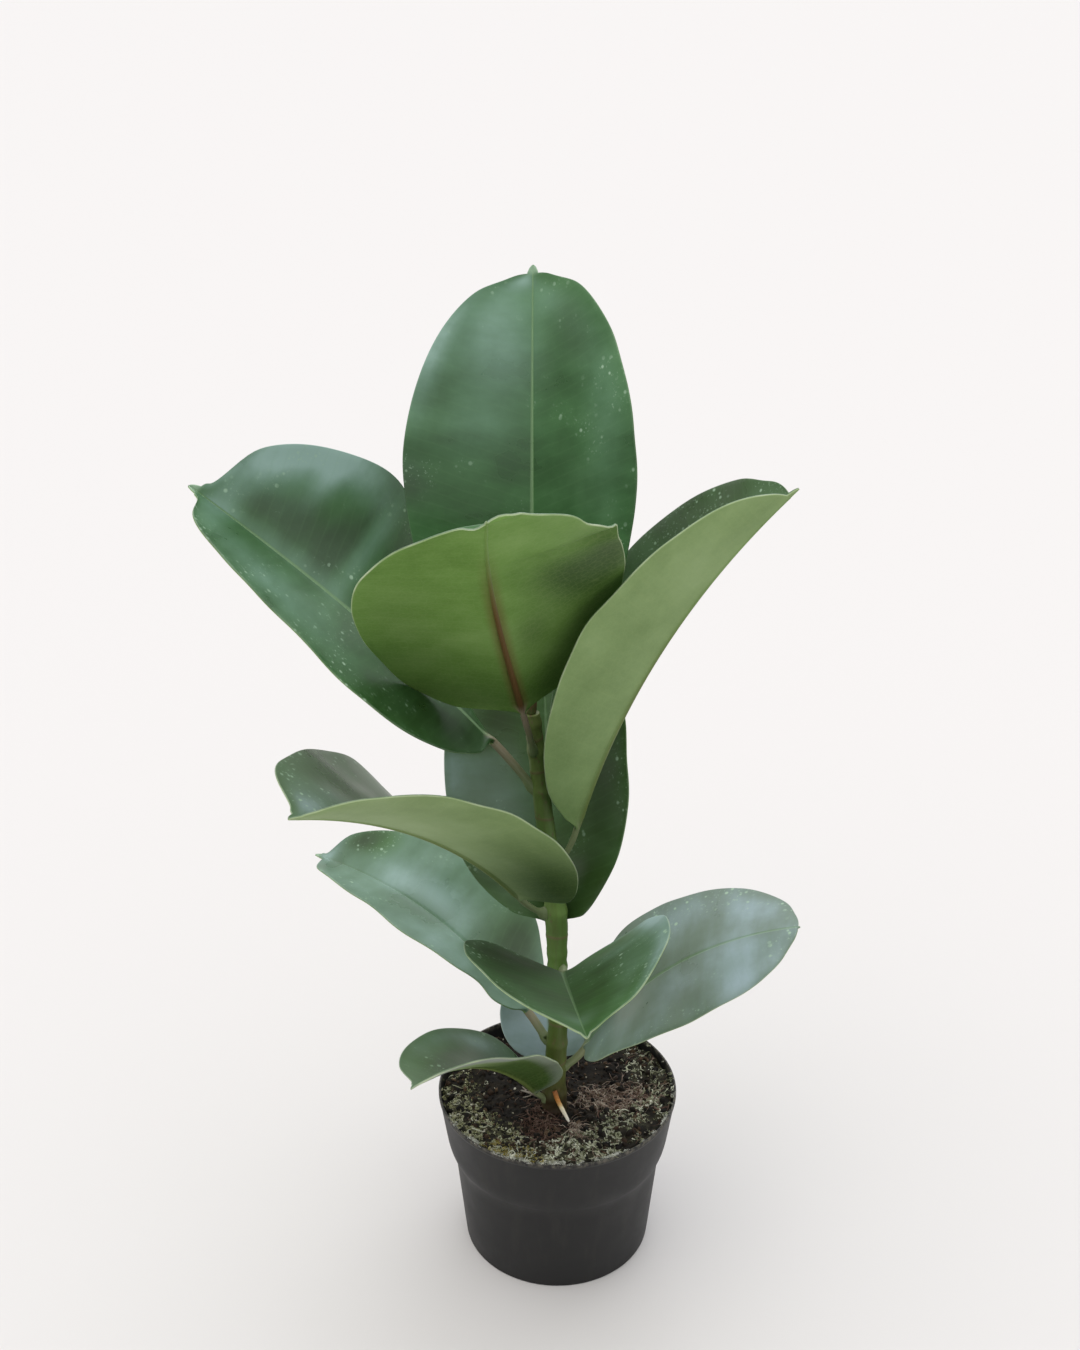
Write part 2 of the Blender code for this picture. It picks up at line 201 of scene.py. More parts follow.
def buildStudio():
    half = studio["floorSize"] / 2
    plane = bpy.data.meshes.new("floor")
    plane.from_pydata([(-half, -half, 0), (half, -half, 0), (half, half, 0), (-half, half, 0)], [],
                      [(0, 1, 2, 3)])
    # matt paper: pale, without a shine
    paper = bpy.data.materials.new("mattPaperFloor")
    paper.use_nodes = True
    plane.materials.append(finishMaterial(paper, {"Base Color": studio["floor"], "Roughness": 0.9,
                                                  "Specular IOR Level": 0.1}))
    floor = bpy.data.objects.new("floor", plane)
    scene.collection.objects.link(floor)
    world = bpy.data.worlds.new("whiteSurround")
    world.use_nodes = True
    add = partial(addNode, world.node_tree)
    way = add("SeparateXYZ", (add("TexCoord", output="Generated"),)).node.outputs
    high, behind, raised = [add("MapRange", (way[axis], low, top), interpolation_type="SMOOTHSTEP")
                            for axis, low, top in studio["fades"]]
    glow = add("Math", (behind, raised), operation="MULTIPLY")
    sky = add("Math", (high, studio["overhead"], studio["horizon"]), operation="MULTIPLY_ADD")
    light = add("Math", (glow, studio["behind"], sky), operation="MULTIPLY_ADD")
    fillSockets(world.node_tree.nodes["Background"], {"Color": studio["tint"], "Strength": light})
    scene.world = world
    for name, (way, strength, width, colour) in studio["keys"].items():
        data = bpy.data.lights.new(name, "SUN")
        data.energy = strength
        data.angle = math.radians(width)
        data.color = hexColour(colour)[:3]
        key = bpy.data.objects.new(name, data)
        key.rotation_euler = (-Vector(way)).to_track_quat("-Z", "Y").to_euler()
        scene.collection.objects.link(key)
    scene.view_settings.view_transform = "Standard"
    print("studio: white surround and", len(studio["keys"]), "soft keys")


# pot: millimetres above its underside, outward from its axis

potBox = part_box("pot")
rimHeight = potBox[1].z / mm
rimRadius = potBox[1].x / mm
potCentre = (potBox[0] + potBox[1]) / 2 / mm

potSetup = {
    "wall": 1.2, "rimBead": 0.5, "beadHeight": 3.0, "collarHeight": 30, "collarFootRadius": 55.6,
    "shoulder": 6.5, "wallTopRadius": 52.3, "wallFootRadius": 47.4, "baseThickness": 3.0,
    "recess": 1.5, "recessInner": 12, "recessOuter": 36, "lip": 1.0,
    "holes": 8, "holeRadius": 3.5, "holeCircle": 24, "holeSides": 32, "drillLength": 12,
    "sides": 192, "sag": 0.25,
}
# the collar's lower edge and the shoulder's foot below it
collarFoot = rimHeight - potSetup["collarHeight"]
shoulderFoot = collarFoot - potSetup["shoulder"]


def roundedProfile(corners, steps=8):
    # a radius and height line whose corners are eased by the third number of each
    line = []
    for i, (r, z, ease) in enumerate(corners):
        here = np.array([r, z], float)
        if ease == 0 or i in (0, len(corners) - 1):
            line.append(here)
            continue
        before = np.array(corners[i - 1][:2], float) - here
        after = np.array(corners[i + 1][:2], float) - here
        first = here + before / np.linalg.norm(before) * min(ease, np.linalg.norm(before) * 0.45)
        last = here + after / np.linalg.norm(after) * min(ease, np.linalg.norm(after) * 0.45)
        for s in np.arange(steps + 1) / steps:
            line.append((1 - s) ** 2 * first + 2 * s * (1 - s) * here + s**2 * last)
    return np.array(line)


def blackPlasticMaterial():
    # injection-moulded polypropylene, carbon black: a dull satin skin with dust and dried water towards the rim
    made, add, place = startMaterial("mouldedBlackPolypropylene")
    height = add("SeparateXYZ", (place,), output="Z")
    cloud = add("TexNoise", (place, 38, 5, 0.65))  # clouds of 26 mm
    black = add("ValToRGB", (cloud,), ramp={0.3: "#070707", 0.55: "#0c0c0c", 0.75: "#141414"})
    # dust lies on the rim in grains of 2.4 mm and less, and runs down in streaks 8 mm apart
    tall = add("Mapping", {"Vector": place, "Scale": (1, 1, 0.16)})
    streak = add("MapRange", (add("TexNoise", (tall, 130, 3)), 0.54, 0.8, 0, 0.07))
    nearRim = add("MapRange", (height, (rimHeight - 3.2) * mm, (rimHeight - 0.2) * mm, 0, 0.7),
                  interpolation_type="SMOOTHSTEP")
    speckle = add("MapRange", (add("TexNoise", (place, 420, 3, 0.7)), 0.42, 0.66))
    rimDust = add("Math", (nearRim, speckle), operation="MULTIPLY")
    dust = add("Math", (rimDust, streak), operation="ADD")
    dusty = add("Mix", (dust, black, "#7c776a"), data_type="RGBA")
    rough = add("MapRange", (cloud, 0.3, 0.7, 0.46, 0.6))
    rougher = add("Math", (dust, 0.5, rough), operation="MULTIPLY_ADD", use_clamp=True)
    grain = add("TexNoise", (place, 1100, 2))  # spark-eroded mould grain, drawn at 0.9 mm so that it shows
    return finishMaterial(made, {"Base Color": dusty, "Roughness": rougher, "IOR": 1.49,
                                 "Specular IOR Level": 0.46}, (grain, 0.03, 0.5))


def buildPot():
    p = potSetup
    bead = p["rimBead"]
    inner = p["wall"]
    corners = [
        (0.0, 0.0, 0), (p["recessInner"] - 0.8, 0, 0.4), (p["recessInner"], p["recess"], 0.4),
        (p["recessOuter"], p["recess"], 0.4), (p["recessOuter"] + 0.8, 0, 0.4),
        (p["wallFootRadius"] - 0.3, 0, 1.4), (p["wallFootRadius"], 1.2, 0.8),
        (p["wallTopRadius"], shoulderFoot, 6.5), (p["collarFootRadius"], collarFoot, 6.5),
        (rimRadius - bead, rimHeight - p["beadHeight"], 0.6),
        (rimRadius, rimHeight - p["beadHeight"] + 0.9, 0.6), (rimRadius, rimHeight, 0.45),
        (rimRadius - p["lip"], rimHeight, 0.45),
        (rimRadius - p["lip"] - 0.3, rimHeight - 2.5, 0.5),
        (p["collarFootRadius"] - inner, collarFoot, 3.2), (p["wallTopRadius"] - inner, shoulderFoot, 3.2),
        (p["wallFootRadius"] - inner, p["baseThickness"] + 1.5, 1.2),
        (p["wallFootRadius"] - inner - 1.5, p["baseThickness"], 1.0), (0.0, p["baseThickness"], 0),
    ]
    turn = circle(p["sides"])
    rings = []
    for r, z in roundedProfile(corners):
        # a thin wall is never quite round
        wobble = p["sag"] * (np.cos(2 * turn + 0.6) + 0.5 * np.cos(3 * turn + 2)) * max(0, z / rimHeight - 0.25)
        wobble = np.minimum(wobble, 0) * (r > 40)
        rings.append(levelRing(max(r, 0.01) + wobble, turn, z, potCentre.x, potCentre.y))
    pot = addPiece("pot_shell", np.concatenate(rings), stackFaces(len(rings), p["sides"]),
                   [blackPlasticMaterial()], "pot")
    # drain holes through the base
    drills = bmesh.new()
    for i in range(p["holes"]):
        way = 2 * math.pi * (i + 0.5) / p["holes"]
        x, y = p["holeCircle"] * math.cos(way), p["holeCircle"] * math.sin(way)
        bmesh.ops.create_cone(drills, cap_ends=True, segments=p["holeSides"], radius1=p["holeRadius"] * mm,
                              radius2=p["holeRadius"] * mm, depth=p["drillLength"] * mm,
                              matrix=Matrix.Translation(Vector((x, y, p["baseThickness"] / 2)) * mm))
    drillMesh = bpy.data.meshes.new("drills")
    drills.to_mesh(drillMesh)
    drills.free()
    drill = bpy.data.objects.new("drills", drillMesh)
    scene.collection.objects.link(drill)
    cut = pot.modifiers.new("drain", "BOOLEAN")
    cut.operation = "DIFFERENCE"
    cut.solver = "EXACT"
    cut.object = drill
    graph = bpy.context.evaluated_depsgraph_get()
    drilled = bpy.data.meshes.new_from_object(pot.evaluated_get(graph))
    pot.modifiers.clear()
    pot.data = drilled
    bpy.data.objects.remove(drill)
    drilled.set_sharp_from_angle(angle=math.radians(45))
    print("pot:", len(drilled.polygons), "faces")


# soil: the bed, its crumbs, the crust of moss and lichen, fibres and pale grit

soilSetup = {
    "drop": 4.5, "frontRise": 3.0, "sideRise": 1.2, "riseOver": 60, "relief": 0.7,
    "edge": 0.35, "topRadius": 58.0, "spacing": 0.78, "sides": 300, "foot": 3.4,
    "mound": 1.3, "moundReach": 8, "frontLift": 1.2,
    # lumps of the surface: height, width and seed
    "lumps": ((1.3, 9, 3.7), (0.9, 3.4, 8.1), (0.4, 1.3, 1.9)),
    # hollows: place, reach and depth
    "hollows": ((16, 14, 11, 3.0), (-32, 4, 13, 1.6), (26, 36, 12, 2.0), (-14, 30, 14, 1.5)),
    "crumbs": 1150, "crumbSize": (0.45, 1.9), "grit": 260, "gritSize": (0.25, 0.7),
    # crust: how thick it grows and how far out it starts, by the angle from the front towards the right
    "crustAngles": (-180, -120, -85, -60, -25, 0, 20, 50, 80, 110, 150, 180),
    "crustGrowth": (0.04, 0.35, 0.7, 0.9, 1.1, 1.05, 1.0, 0.75, 0.66, 0.5, 0.15, 0.04),
    "crustStart": (50, 45, 39, 38, 36, 36, 33, 30, 34, 40, 50, 50),
    # mats of fibres: place, reach each way, how many, darkest and palest tone
    "mats": ((28, -6, 16, 9, 400, 0.3, 1.0), (-8, -27, 7, 12, 240, 0.12, 0.62), (0, 0, 60, 60, 130, 0.1, 0.8),
             (9, -30, 4, 3, 50, 0.5, 1.1)),
    "fibreLength": (4, 13), "fibreRadius": (0.09, 0.2), "stoutRadius": (0.25, 0.4), "fineShare": 0.93,
    "fibreRings": 9, "strands": 170, "strandLength": (2.5, 8), "strandRadius": (0.13, 0.28), "strandRings": 9,
}

crustKinds = {
    # name: (material, colours, tufts, size, first and last angle, first and last radius, height over the bed)
    "lichen_crust": ("dryGreyLichen", {0: "#34382a", 0.28: "#686b52", 0.55: "#9b9d82", 1: "#e2e2d2"},
                     640, (0.6, 2.0), (-25, 180), (0, 58.4), 0.0),
    "moss_crust": ("dryOliveMoss", {0: "#2e3020", 0.28: "#5e5f40", 0.55: "#93936c", 1: "#d3d3b6"},
                   520, (0.55, 1.8), (-180, -25), (0, 58.4), 0.0),
    "moss_cushion": ("yellowMoss", {0: "#39350f", 0.3: "#6a6126", 0.6: "#938646", 1: "#c2b883"},
                     120, (0.6, 1.4), (-40, -6), (49, 58.6), 0.5),
    "rim_crust": ("limeAndDustCrust", {0: "#55564a", 0.3: "#84857a", 0.6: "#a9aa9e", 1: "#d9d9d0"},
                  640, (0.35, 1.0), (-66, 92), (57.2, 59.8), 0.0),
    "lime_line": ("driedLime", {0: "#8f8f85", 0.3: "#b3b3aa", 0.6: "#d0d0c8", 1: "#eeeee8"},
                  260, (0.3, 0.75), (22, 66), (58.0, 59.4), 0.0),
}

# one tuft: its lobes, how steeply they rise, their length and radius as shares of its size, how flat they are
tuftMake = {"lobes": (5, 7), "rise": (0.2, 1.2), "length": (0.6, 1.1), "radius": (0.15, 0.27), "flatness": 0.5,
            "tries": 80, "overRim": 57.5, "insideRim": 0.15}


def soilHeight(x, y):
    # the level of the bed in millimetres, high at the front and low at the back
    s = soilSetup
    wave = math.sin(0.21 * x + 1) * math.cos(0.18 * y - 0.6) + 0.6 * math.sin(0.09 * x - 0.13 * y + 2)
    return (rimHeight - s["drop"] - s["frontRise"] * y / s["riseOver"]
            + s["sideRise"] * x / s["riseOver"] + s["relief"] * wave)


def soilTop(x, y):
    # the bed with its mound round the stem, its hollows and its lumps
    foot = stemAxis(stemSetup["level"])
    near = math.hypot(x - foot[0], y - foot[1])
    r = max(math.hypot(x, y), 1e-3)
    lift = soilSetup["mound"] * math.exp(-((near / soilSetup["moundReach"]) ** 2))
    lift += soilSetup["frontLift"] * float(smoothStep(36, 56, r)) * max(0.0, 0.35 - y / r)
    for hx, hy, reach, depth in soilSetup["hollows"]:
        lift -= depth * math.exp(-(((x - hx) ** 2 + (y - hy) ** 2) / reach**2))
    for height, width, seed in soilSetup["lumps"]:
        lift += height * noise.noise(Vector((x / width, y / width, seed)))
    return min(soilHeight(x, y) + lift, rimHeight + 0.6)


def bedRadius(height):
    # how far the bed reaches inside the wall
    p = potSetup
    radii = [p["wallFootRadius"], p["wallTopRadius"], p["collarFootRadius"], rimRadius - p["rimBead"]]
    reach = np.interp(height, [0, shoulderFoot, collarFoot, rimHeight], radii)
    return float(reach) - p["wall"] - soilSetup["edge"]


def mossShare(x, y):
    # how thickly the crust grows: thick in clumps along the front and the right, hardly at all at the back
    angle = math.degrees(math.atan2(x, -y))
    growth, start = (float(np.interp(angle, soilSetup["crustAngles"], soilSetup[key]))
                     for key in ("crustGrowth", "crustStart"))
    clump = noise.noise(Vector((x / 5.5, y / 5.5, 5.5))) + 0.45 * noise.noise(Vector((x / 2.2, y / 2.2, 2.5)))
    edge = float(smoothStep(start - 7, start + 9, math.hypot(x, y)))
    return growth * edge * float(smoothStep(-0.32 - 0.25 * edge, 0.22, clump))


def pottingSoilMaterial():
    # damp peat and coir: near-black brown, matt, with paler dry grains on the high spots
    made, add, place = startMaterial("dampPeatSoil")
    cloud = add("TexNoise", (place, 180, 6, 0.7))  # clods of 5.6 mm
    brown = add("ValToRGB", (cloud,), ramp={0.3: "#0b0906", 0.5: "#17130d", 0.62: "#261f15", 0.78: "#43392b"})
    # green-grey algae film between the tufts, broken by grains of 1.6 mm
    film = add("Attribute", output="Fac", attribute_name="mossShare")
    grains = add("TexNoise", (place, 620, 4, 0.75))
    gate = add("MapRange", (grains, 0.42, 0.62))
    filmShare = add("Math", (film, gate), operation="MULTIPLY", use_clamp=True)
    green = add("Mix", (filmShare, brown, "#62624a"), data_type="RGBA")
    return finishMaterial(made, {"Base Color": green, "Roughness": 0.86, "Specular IOR Level": 0.22},
                          (grains, 0.5, 0.9))


def scatterMaterial(name, ramp, roughness, scale, depth):
    # a matt natural grain whose tone differs from piece to piece; 900 mottles it every 1.1 mm, 500 every 2 mm
    made, add, place = startMaterial(name)
    tone = add("Attribute", output="Fac", attribute_name="tone")
    cloud = add("TexNoise", (place, scale, 4, 0.65))
    shift = add("Math", (cloud, 0.5), operation="SUBTRACT")
    share = add("Math", (shift, 0.7, tone), operation="MULTIPLY_ADD", use_clamp=True)
    colour = add("ValToRGB", (share,), ramp=ramp)
    return finishMaterial(made, {"Base Color": colour, "Roughness": roughness, "Specular IOR Level": 0.25},
                          (cloud, depth, 0.7))


def mergeShapes(name, shapes, material, node="potting_soil"):
    # many small closed shapes in one piece; each gives its points, faces and tones
    points, faces, tones, start = [], [], [], 0
    for shapePoints, shapeFaces, shapeTones in shapes:
        points.append(shapePoints)
        faces.extend(tuple(i + start for i in face) for face in shapeFaces)
        tones.append(shapeTones)
        start += len(shapePoints)
    return addPiece(name, np.concatenate(points), faces, [material], node,
                    attributes={"tone": np.concatenate(tones)})


def tubeShape(path, radii, sides=4, flatness=1.0):
    # a closed tube along a path, rings across it, flattened in one way if asked
    path = np.asarray(path, float)
    ahead = np.gradient(path, axis=0)
    ahead /= np.linalg.norm(ahead, axis=1)[:, None] + 1e-9
    helper = np.array([0.21, 0.13, 0.97])
    helper = helper if abs(ahead[0] @ helper) < 0.9 else np.array([0.97, 0.2, 0.1])
    rings = []
    turn = circle(sides)[:, None]
    for centre, way, radius in zip(path, ahead, radii):
        across = np.cross(way, helper)
        across /= np.linalg.norm(across)
        helper = np.cross(across, way)
        rings.append(centre + radius * (np.cos(turn) * across + flatness * np.sin(turn) * helper))
    return np.concatenate(rings), [face[::-1] for face in stackFaces(len(path), sides)]


def lumpShape(radius, dice, template):
    # a rough grain from a rounded template
    ways, faces = template
    seed = Vector((dice.uniform(0, 99), dice.uniform(0, 99), dice.uniform(0, 99)))
    reach = np.array([1 + 0.45 * noise.noise(Vector(way) * 1.4 + seed) for way in ways])
    stretch = np.array([dice.uniform(0.7, 1.3), dice.uniform(0.7, 1.3), dice.uniform(0.5, 0.9)])
    turn = np.array(Euler([dice.uniform(0, 6.28) for _ in range(3)]).to_matrix())
    return (ways * reach[:, None] * stretch * radius) @ turn.T, faces


def roundTemplate(level):
    ball = bmesh.new()
    bmesh.ops.create_icosphere(ball, subdivisions=level, radius=1)
    ways = np.array([tuple(v.co) for v in ball.verts])
    faces = [tuple(v.index for v in f.verts) for f in ball.faces]
    ball.free()
    return ways, faces


def scatterSpot(dice, share, tries=60):
    # a place on the bed, more likely where share is high
    for _ in range(tries):
        r = (soilSetup["topRadius"] - 1.0) * math.sqrt(dice.random())
        way = dice.uniform(0, 2 * math.pi)
        x, y = r * math.cos(way), r * math.sin(way)
        if dice.random() < share(x, y):
            break
    return x, y


def buildBed():
    top, sides = soilSetup["topRadius"], soilSetup["sides"]
    ringCount = int(top / soilSetup["spacing"])
    turn = circle(sides)
    points, moss = [np.array([[0, 0, soilTop(0, 0)]])], [mossShare(0, 0)]
    for i in range(1, ringCount + 1):
        r = top * i / ringCount
        ring = [(r * math.cos(t), r * math.sin(t)) for t in turn]
        points.append(np.array([(x, y, soilTop(x, y)) for x, y in ring]))
        moss.extend(mossShare(x, y) for x, y in ring)
    # down the inside of the wall and across the bottom
    skirt = [rimHeight - 14, collarFoot + 1, shoulderFoot - 1, soilSetup["foot"] + 2, soilSetup["foot"]]
    for height in skirt:
        points.append(levelRing(bedRadius(height), turn, height))
        moss.extend([0.0] * sides)
    faces = [(0, 1 + j, 1 + (j + 1) % sides) for j in range(sides)]
    faces += [face[::-1] for face in ringFaces(ringCount + len(skirt), sides, start=1)]
    total = 1 + (ringCount + len(skirt)) * sides
    faces.append(tuple(range(total - sides, total))[::-1])
    addPiece("soil_bed", np.concatenate(points), faces, [pottingSoilMaterial()], "potting_soil",
             attributes={"mossShare": moss})
    print("soil: a bed of", ringCount, "rings")


def buildCrumbs(dice):
    ball = roundTemplate(2)
    low, high = soilSetup["crumbSize"]
    crumbs = []
    for _ in range(soilSetup["crumbs"]):
        x, y = scatterSpot(dice, lambda x, y: 0.75)
        radius = low + (high - low) * dice.random() ** 2.6
        shape, faces = lumpShape(radius, dice, ball)
        crumbs.append((shape + (x, y, soilTop(x, y) + 0.15 * radius), faces,
                       np.full(len(shape), dice.random() ** 1.5)))
    # lumps of damp peat and bark, rounded by watering
    peat = scatterMaterial("peatAndBarkCrumbs", {0: "#0c0a07", 0.4: "#1a140d", 0.75: "#332519", 1: "#5f4d3b"},
                           0.85, 700, 0.25)
    mergeShapes("soil_crumbs", crumbs, peat)
    print("soil:", len(crumbs), "crumbs")


def buildCrust(dice):
    # moss and lichen: chalky little lobes, dark at the root and pale at the tips
    for kind, (material, ramp, count, sizes, angles, radii, raised) in crustKinds.items():
        tufts = []
        for _ in range(count):
            for _ in range(tuftMake["tries"]):
                angle = dice.uniform(*angles)
                r = math.sqrt(dice.uniform(radii[0] ** 2, radii[1] ** 2))
                x, y = r * math.sin(math.radians(angle)), -r * math.cos(math.radians(angle))
                share = mossShare(x, y)
                if dice.random() < (share if raised == 0 else 0.35 + share):
                    break
            size = dice.uniform(*sizes) * (0.7 + 0.4 * share)
            level = soilTop(x, y) if r < tuftMake["overRim"] else max(soilTop(x, y), rimHeight - 0.2)
            arch = raised * math.sin(math.pi * (angle - angles[0]) / (angles[1] - angles[0]))
            base = np.array([x, y, level - 0.2 + arch])
            tone = dice.random() ** 1.4 * (0.65 + 0.45 * share)
            for _ in range(dice.randint(*tuftMake["lobes"])):
                way = dice.uniform(0, 2 * math.pi)
                rise = dice.uniform(*tuftMake["rise"])
                out = np.array([math.cos(way), math.sin(way), 0]) * math.cos(rise)
                bend = np.array([dice.uniform(-0.5, 0.5), dice.uniform(-0.5, 0.5), dice.uniform(-0.6, 0.1)])
                length = size * dice.uniform(*tuftMake["length"])
                path = [base + out * 0.15 + (out + [0, 0, math.sin(rise)]) * length * s
                        + bend * length * 0.5 * s * s for s in (0, 0.35, 0.7, 1.0)]
                wide = size * dice.uniform(*tuftMake["radius"])
                shape, faces = tubeShape(path, [wide * 0.6, wide, wide * 1.1, wide * 0.45], 4,
                                         tuftMake["flatness"])
                # no lobe grows through the pot's rim
                reach = np.hypot(shape[:, 0], shape[:, 1])
                held = np.minimum(reach, rimRadius - tuftMake["insideRim"])
                shape[:, :2] *= (held / np.maximum(reach, 1e-6))[:, None]
                tufts.append((shape, faces, tone * 0.6 + np.repeat([0.0, 0.15, 0.32, 0.5], 4)))
        mergeShapes(kind, tufts, scatterMaterial(material, ramp, 0.95, 500, 0.2))
        print("crust:", kind, len(tufts), "lobes")


def buildFibres(dice):
    steps = soilSetup["fibreRings"]
    limit = soilSetup["topRadius"] - 0.8
    fibres = []
    for mx, my, reachX, reachY, count, darkest, palest in soilSetup["mats"]:
        for _ in range(count):
            spread, turned = math.sqrt(-math.log(1 - 0.95 * dice.random())), dice.uniform(0, 2 * math.pi)
            x, y = mx + reachX * spread * math.cos(turned), my + reachY * spread * math.sin(turned)
            way = dice.uniform(0, 2 * math.pi)
            length = dice.uniform(*soilSetup["fibreLength"])
            path, curl = [], dice.uniform(-0.4, 0.4)
            for k in range(steps):
                reach = math.hypot(x, y)
                if reach > limit:
                    x, y = x * limit / reach, y * limit / reach
                arch = 0.2 + 1.3 * math.sin(math.pi * k / (steps - 1)) * dice.uniform(0.2, 1)
                path.append((x, y, soilTop(x, y) + arch))
                way += curl + dice.uniform(-0.25, 0.25)
                x += math.cos(way) * length / steps
                y += math.sin(way) * length / steps
            kind = "fibreRadius" if dice.random() < soilSetup["fineShare"] else "stoutRadius"
            thick = dice.uniform(*soilSetup[kind])
            radii = [thick * (1 - 0.6 * abs(2 * k / (steps - 1) - 1) ** 3) for k in range(steps)]
            shape, faces = tubeShape(path, radii, 4)
            fibres.append((shape, faces, np.full(len(shape), dice.uniform(darkest, palest))))
    # coir and dead rootlets: thin, dull red-brown, many bleached to a pinkish grey
    coir = scatterMaterial("coirFibre", {0: "#301d16", 0.35: "#584136", 0.7: "#857265", 1: "#b8ab9b"},
                           0.8, 900, 0.1)
    mergeShapes("coir_fibres", fibres, coir)
    print("soil:", len(fibres), "fibres")


def buildStrands(dice):
    steps = soilSetup["strandRings"]
    strands = []
    for _ in range(soilSetup["strands"]):
        x, y = scatterSpot(dice, mossShare)
        way, curl = dice.uniform(0, 6.28), dice.uniform(-0.9, 0.9)
        length = dice.uniform(*soilSetup["strandLength"])
        path = []
        for k in range(steps):
            path.append((x, y, soilTop(x, y) + 0.5 + 0.7 * math.sin(math.pi * k / (steps - 1))))
            way += curl + dice.uniform(-0.4, 0.4)
            x, y = x + math.cos(way) * length / steps, y + math.sin(way) * length / steps
        thick = dice.uniform(*soilSetup["strandRadius"])
        radii = [thick * (0.45 + 0.55 * math.sin(math.pi * (k + 0.5) / steps)) for k in range(steps)]
        shape, faces = tubeShape(path, radii, 6)
        strands.append((shape, faces, np.full(len(shape), dice.uniform(0.35, 1.0))))
    # creeping lichen branches: pale olive grey, chalky, as thick as a straw of grass
    lichen = scatterMaterial("branchedLichen", {0: "#55573f", 0.4: "#85876a", 0.7: "#acae93", 1: "#d6d7c4"},
                             0.95, 700, 0.2)
    mergeShapes("lichen_strands", strands, lichen)
    print("soil:", len(strands), "lichen strands")


def buildGrit(dice):
    ball = roundTemplate(1)
    grit = []
    for _ in range(soilSetup["grit"]):
        # most of it lies in the crust and in one patch at the right
        x, y = scatterSpot(dice, lambda x, y: 0.15 + mossShare(x, y)
                           + math.exp(-(((x - 42) ** 2 + (y - 26) ** 2) / 300)))
        shape, faces = lumpShape(dice.uniform(*soilSetup["gritSize"]), dice, ball)
        grit.append((shape + (x, y, soilTop(x, y) + 0.4), faces, np.full(len(shape), dice.random())))
    # crushed limestone and perlite: chalk white to grey, matt
    stone = scatterMaterial("crushedLimeGrit", {0: "#77705f", 0.5: "#a8a390", 1: "#d8d4c4"}, 0.9, 900, 0.1)
    mergeShapes("lime_grit", grit, stone)
    print("soil:", len(grit), "grains of grit")


def buildSoil():
    buildBed()
    dice = random.Random(7)
    for build in (buildCrumbs, buildCrust, buildFibres, buildStrands, buildGrit):
        build(dice)


# stem: the axis that every leaf starts from, in millimetres

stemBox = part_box("main_stem")

stemSetup = {
    "foot": (-2, -11), "lean": (-12, 5), "bend": 2.6, "level": 84, "span": 226,
    "bottom": 66, "top": stemBox[1].z / mm, "footRadius": 5.5, "thinning": 2.3,
    "nodeSwelling": 0.5, "nodeReach": 2.4, "scarRings": (112, 134, 146, 157, 184, 207, 233, 247, 271, 288),
    "scarAslant": 0.8, "scarRise": 0.16, "scarHollow": 0.1,
    "flare": 1.5, "flareReach": 5, "cork": 0.5, "corkReach": 14, "ridges": 0.13, "sides": 56, "step": 0.7,
    "lenticels": 130, "lowestLenticel": 90, "lenticelSize": (0.25, 0.5),
    # by height: how much fuller the stem is, and how far it swings to the right between its leaves
    "fuller": ((84, 100, 117, 132, 160, 173, 182, 190, 205, 230),
               (0, 0, 0.05, -0.3, -0.2, -0.1, 0.6, 0.9, 0.8, 0.4)),
    "swing": ((84, 104, 117, 132, 150, 171, 188, 203, 215, 235, 250, 270),
              (0.2, 0.9, 1.4, 2.4, 2.6, 2.6, 2.9, 2.6, 1.9, 1.0, 0.3, 0)),
}


def stemAxis(height):
    share = max(0.0, (height - stemSetup["level"]) / stemSetup["span"])
    x = stemSetup["foot"][0] + stemSetup["lean"][0] * share ** stemSetup["bend"]
    y = stemSetup["foot"][1] + stemSetup["lean"][1] * share
    return np.array([x, y, height], float)


def stemSwing(height):
    return float(np.interp(height, *stemSetup["swing"]))


def stemRadius(height):
    share = max(0.0, (height - stemSetup["level"]) / stemSetup["span"])
    return stemSetup["footRadius"] - stemSetup["thinning"] * share


def barkMaterial():
    # young living bark: olive green above, browning towards the soil, satin with corky pores and leaf scars
    made, add, place = startMaterial("youngGreenBark")
    height = add("SeparateXYZ", (place,), output="Z")
    tall = add("Mapping", {"Vector": place, "Scale": (1, 1, 0.12)})
    streak = add("TexNoise", (tall, 420, 4, 0.6))  # streaks 2.4 mm apart and 20 mm long
    cloud = add("TexNoise", (place, 60, 4))
    drift = add("Math", (cloud, 0.03, height), operation="MULTIPLY_ADD")
    level = add("MapRange", (drift, 0.094, 0.32))
    # colour by height: brown at the soil, olive green above; the pale band from 0.54 to 0.6 and the paler top are
    # painted light, lifting the shade that the leaves above cast on the stem
    colour = add("ValToRGB", (level,),
                 ramp={0: "#33251a", 0.05: "#3b3219", 0.12: "#566228", 0.35: "#527030", 0.49: "#54722f",
                       0.54: "#728f49", 0.6: "#728f49", 0.65: "#577538", 1: "#6b783f"})
    streaked = add("MapRange", (streak, 0.45, 0.75, 0, 0.35))
    scar = add("Attribute", output="Fac", attribute_name="scar")
    for share, top in ((streaked, "#554730"), (scar, "#6b5a41")):
        colour = add("Mix", (share, colour, top), data_type="RGBA")
    rough = add("MapRange", (streak, 0, 1, 0.38, 0.68))
    return finishMaterial(made, {"Base Color": colour, "Roughness": rough, "IOR": 1.45}, (streak, 0.15, 0.8))


